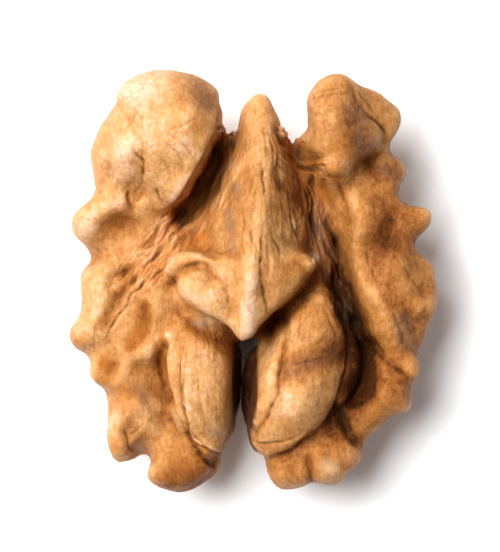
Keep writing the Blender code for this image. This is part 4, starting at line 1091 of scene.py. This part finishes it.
# The ink colour is also the painted shade in creases, hollows, fibre gaps and the slit; the pale colour is
# also the painted highlight on fibre ridges and lit lobes.
LAYERS = {"rust": "#B26A24", "ash": "#86705E", "pale_and_painted_highlight": "#DCC19C", "ink_and_painted_shade": "#44230F"}
SPECK_COLOUR = "#7A4520"
SPECK_SHARE = 0.30
VEIN_COLOUR = "#8E5226"
VEIN_SHARE = 0.45

ramp = add_node(tree, "ShaderNodeValToRGB", None, {0: tone_with_painted_shade})
stops = ramp.color_ramp.elements
stops.remove(stops[1])
stops[0].position = min(RAMP)
for place in list(RAMP)[1:]:
    stops.new(place)
for stop, code in zip(stops, RAMP.values()):
    stop.color = linear(code)

speck_share = add_node(
    tree, "ShaderNodeMath", {"operation": "MULTIPLY"}, {0: few_specks.outputs[0], 1: SPECK_SHARE}
)
vein_share = add_node(
    tree, "ShaderNodeMath", {"operation": "MULTIPLY"}, {0: veins.outputs[0], 1: VEIN_SHARE}
)
coats = [(amount[name].outputs["Fac"], code) for name, code in LAYERS.items()]
coats += [(speck_share.outputs[0], SPECK_COLOUR), (vein_share.outputs[0], VEIN_COLOUR)]
colour = ramp.outputs[0]
for share, code in coats:
    mix = add_node(tree, "ShaderNodeMix", {"data_type": "RGBA"}, {0: share, 6: colour, 7: linear(code)})
    colour = mix.outputs[2]
tree.links.new(colour, shader.inputs["Base Color"])
print("colours over the ramp:", len(coats))

# %% [markdown]
# The same patterns give the skin its relief, about a fifth of a millimetre deep. Dried skin is
# rough, with an index of refraction near that of plant wax and oil. Rubbed, pale places keep a
# faint sheen, and dark ones have none. A little light spreads under the skin, mostly the red.

# %% Relief and sheen
RELIEF = 0.2 * MM
LIGHT_DEPTH = 0.6 * MM

coarse = add_node(
    tree, "ShaderNodeMath", {"operation": "ADD"}, {0: grain.outputs[0], 1: thread_part.outputs[0]}
)
relief = add_node(
    tree, "ShaderNodeMath", {"operation": "MULTIPLY_ADD"},
    {0: streaks.outputs[0], 1: 0.7, 2: coarse.outputs[0]},
)
bump = add_node(
    tree, "ShaderNodeBump", None, {"Height": relief.outputs[0], "Strength": 0.6, "Distance": RELIEF}
)
sheen = add_node(
    tree, "ShaderNodeMapRange", None,
    {"Value": tone_with_painted_shade, "From Min": 0.25, "From Max": 0.75, "To Min": 0.32, "To Max": 0.06},
)
tree.links.new(bump.outputs[0], shader.inputs["Normal"])
tree.links.new(sheen.outputs[0], shader.inputs["Specular IOR Level"])
shader.inputs["Roughness"].default_value = 0.55
shader.inputs["IOR"].default_value = 1.47
shader.inputs["Subsurface Weight"].default_value = 0.12
shader.inputs["Subsurface Scale"].default_value = LIGHT_DEPTH
shader.inputs["Subsurface Radius"].default_value = (1.0, 0.45, 0.2)
kernel.data.materials.append(skin)
print("nodes in the skin:", len(tree.nodes))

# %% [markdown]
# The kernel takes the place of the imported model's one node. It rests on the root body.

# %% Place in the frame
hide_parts("walnut_kernel_half")
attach(kernel, "root")
print("replaced:", "walnut_kernel_half")
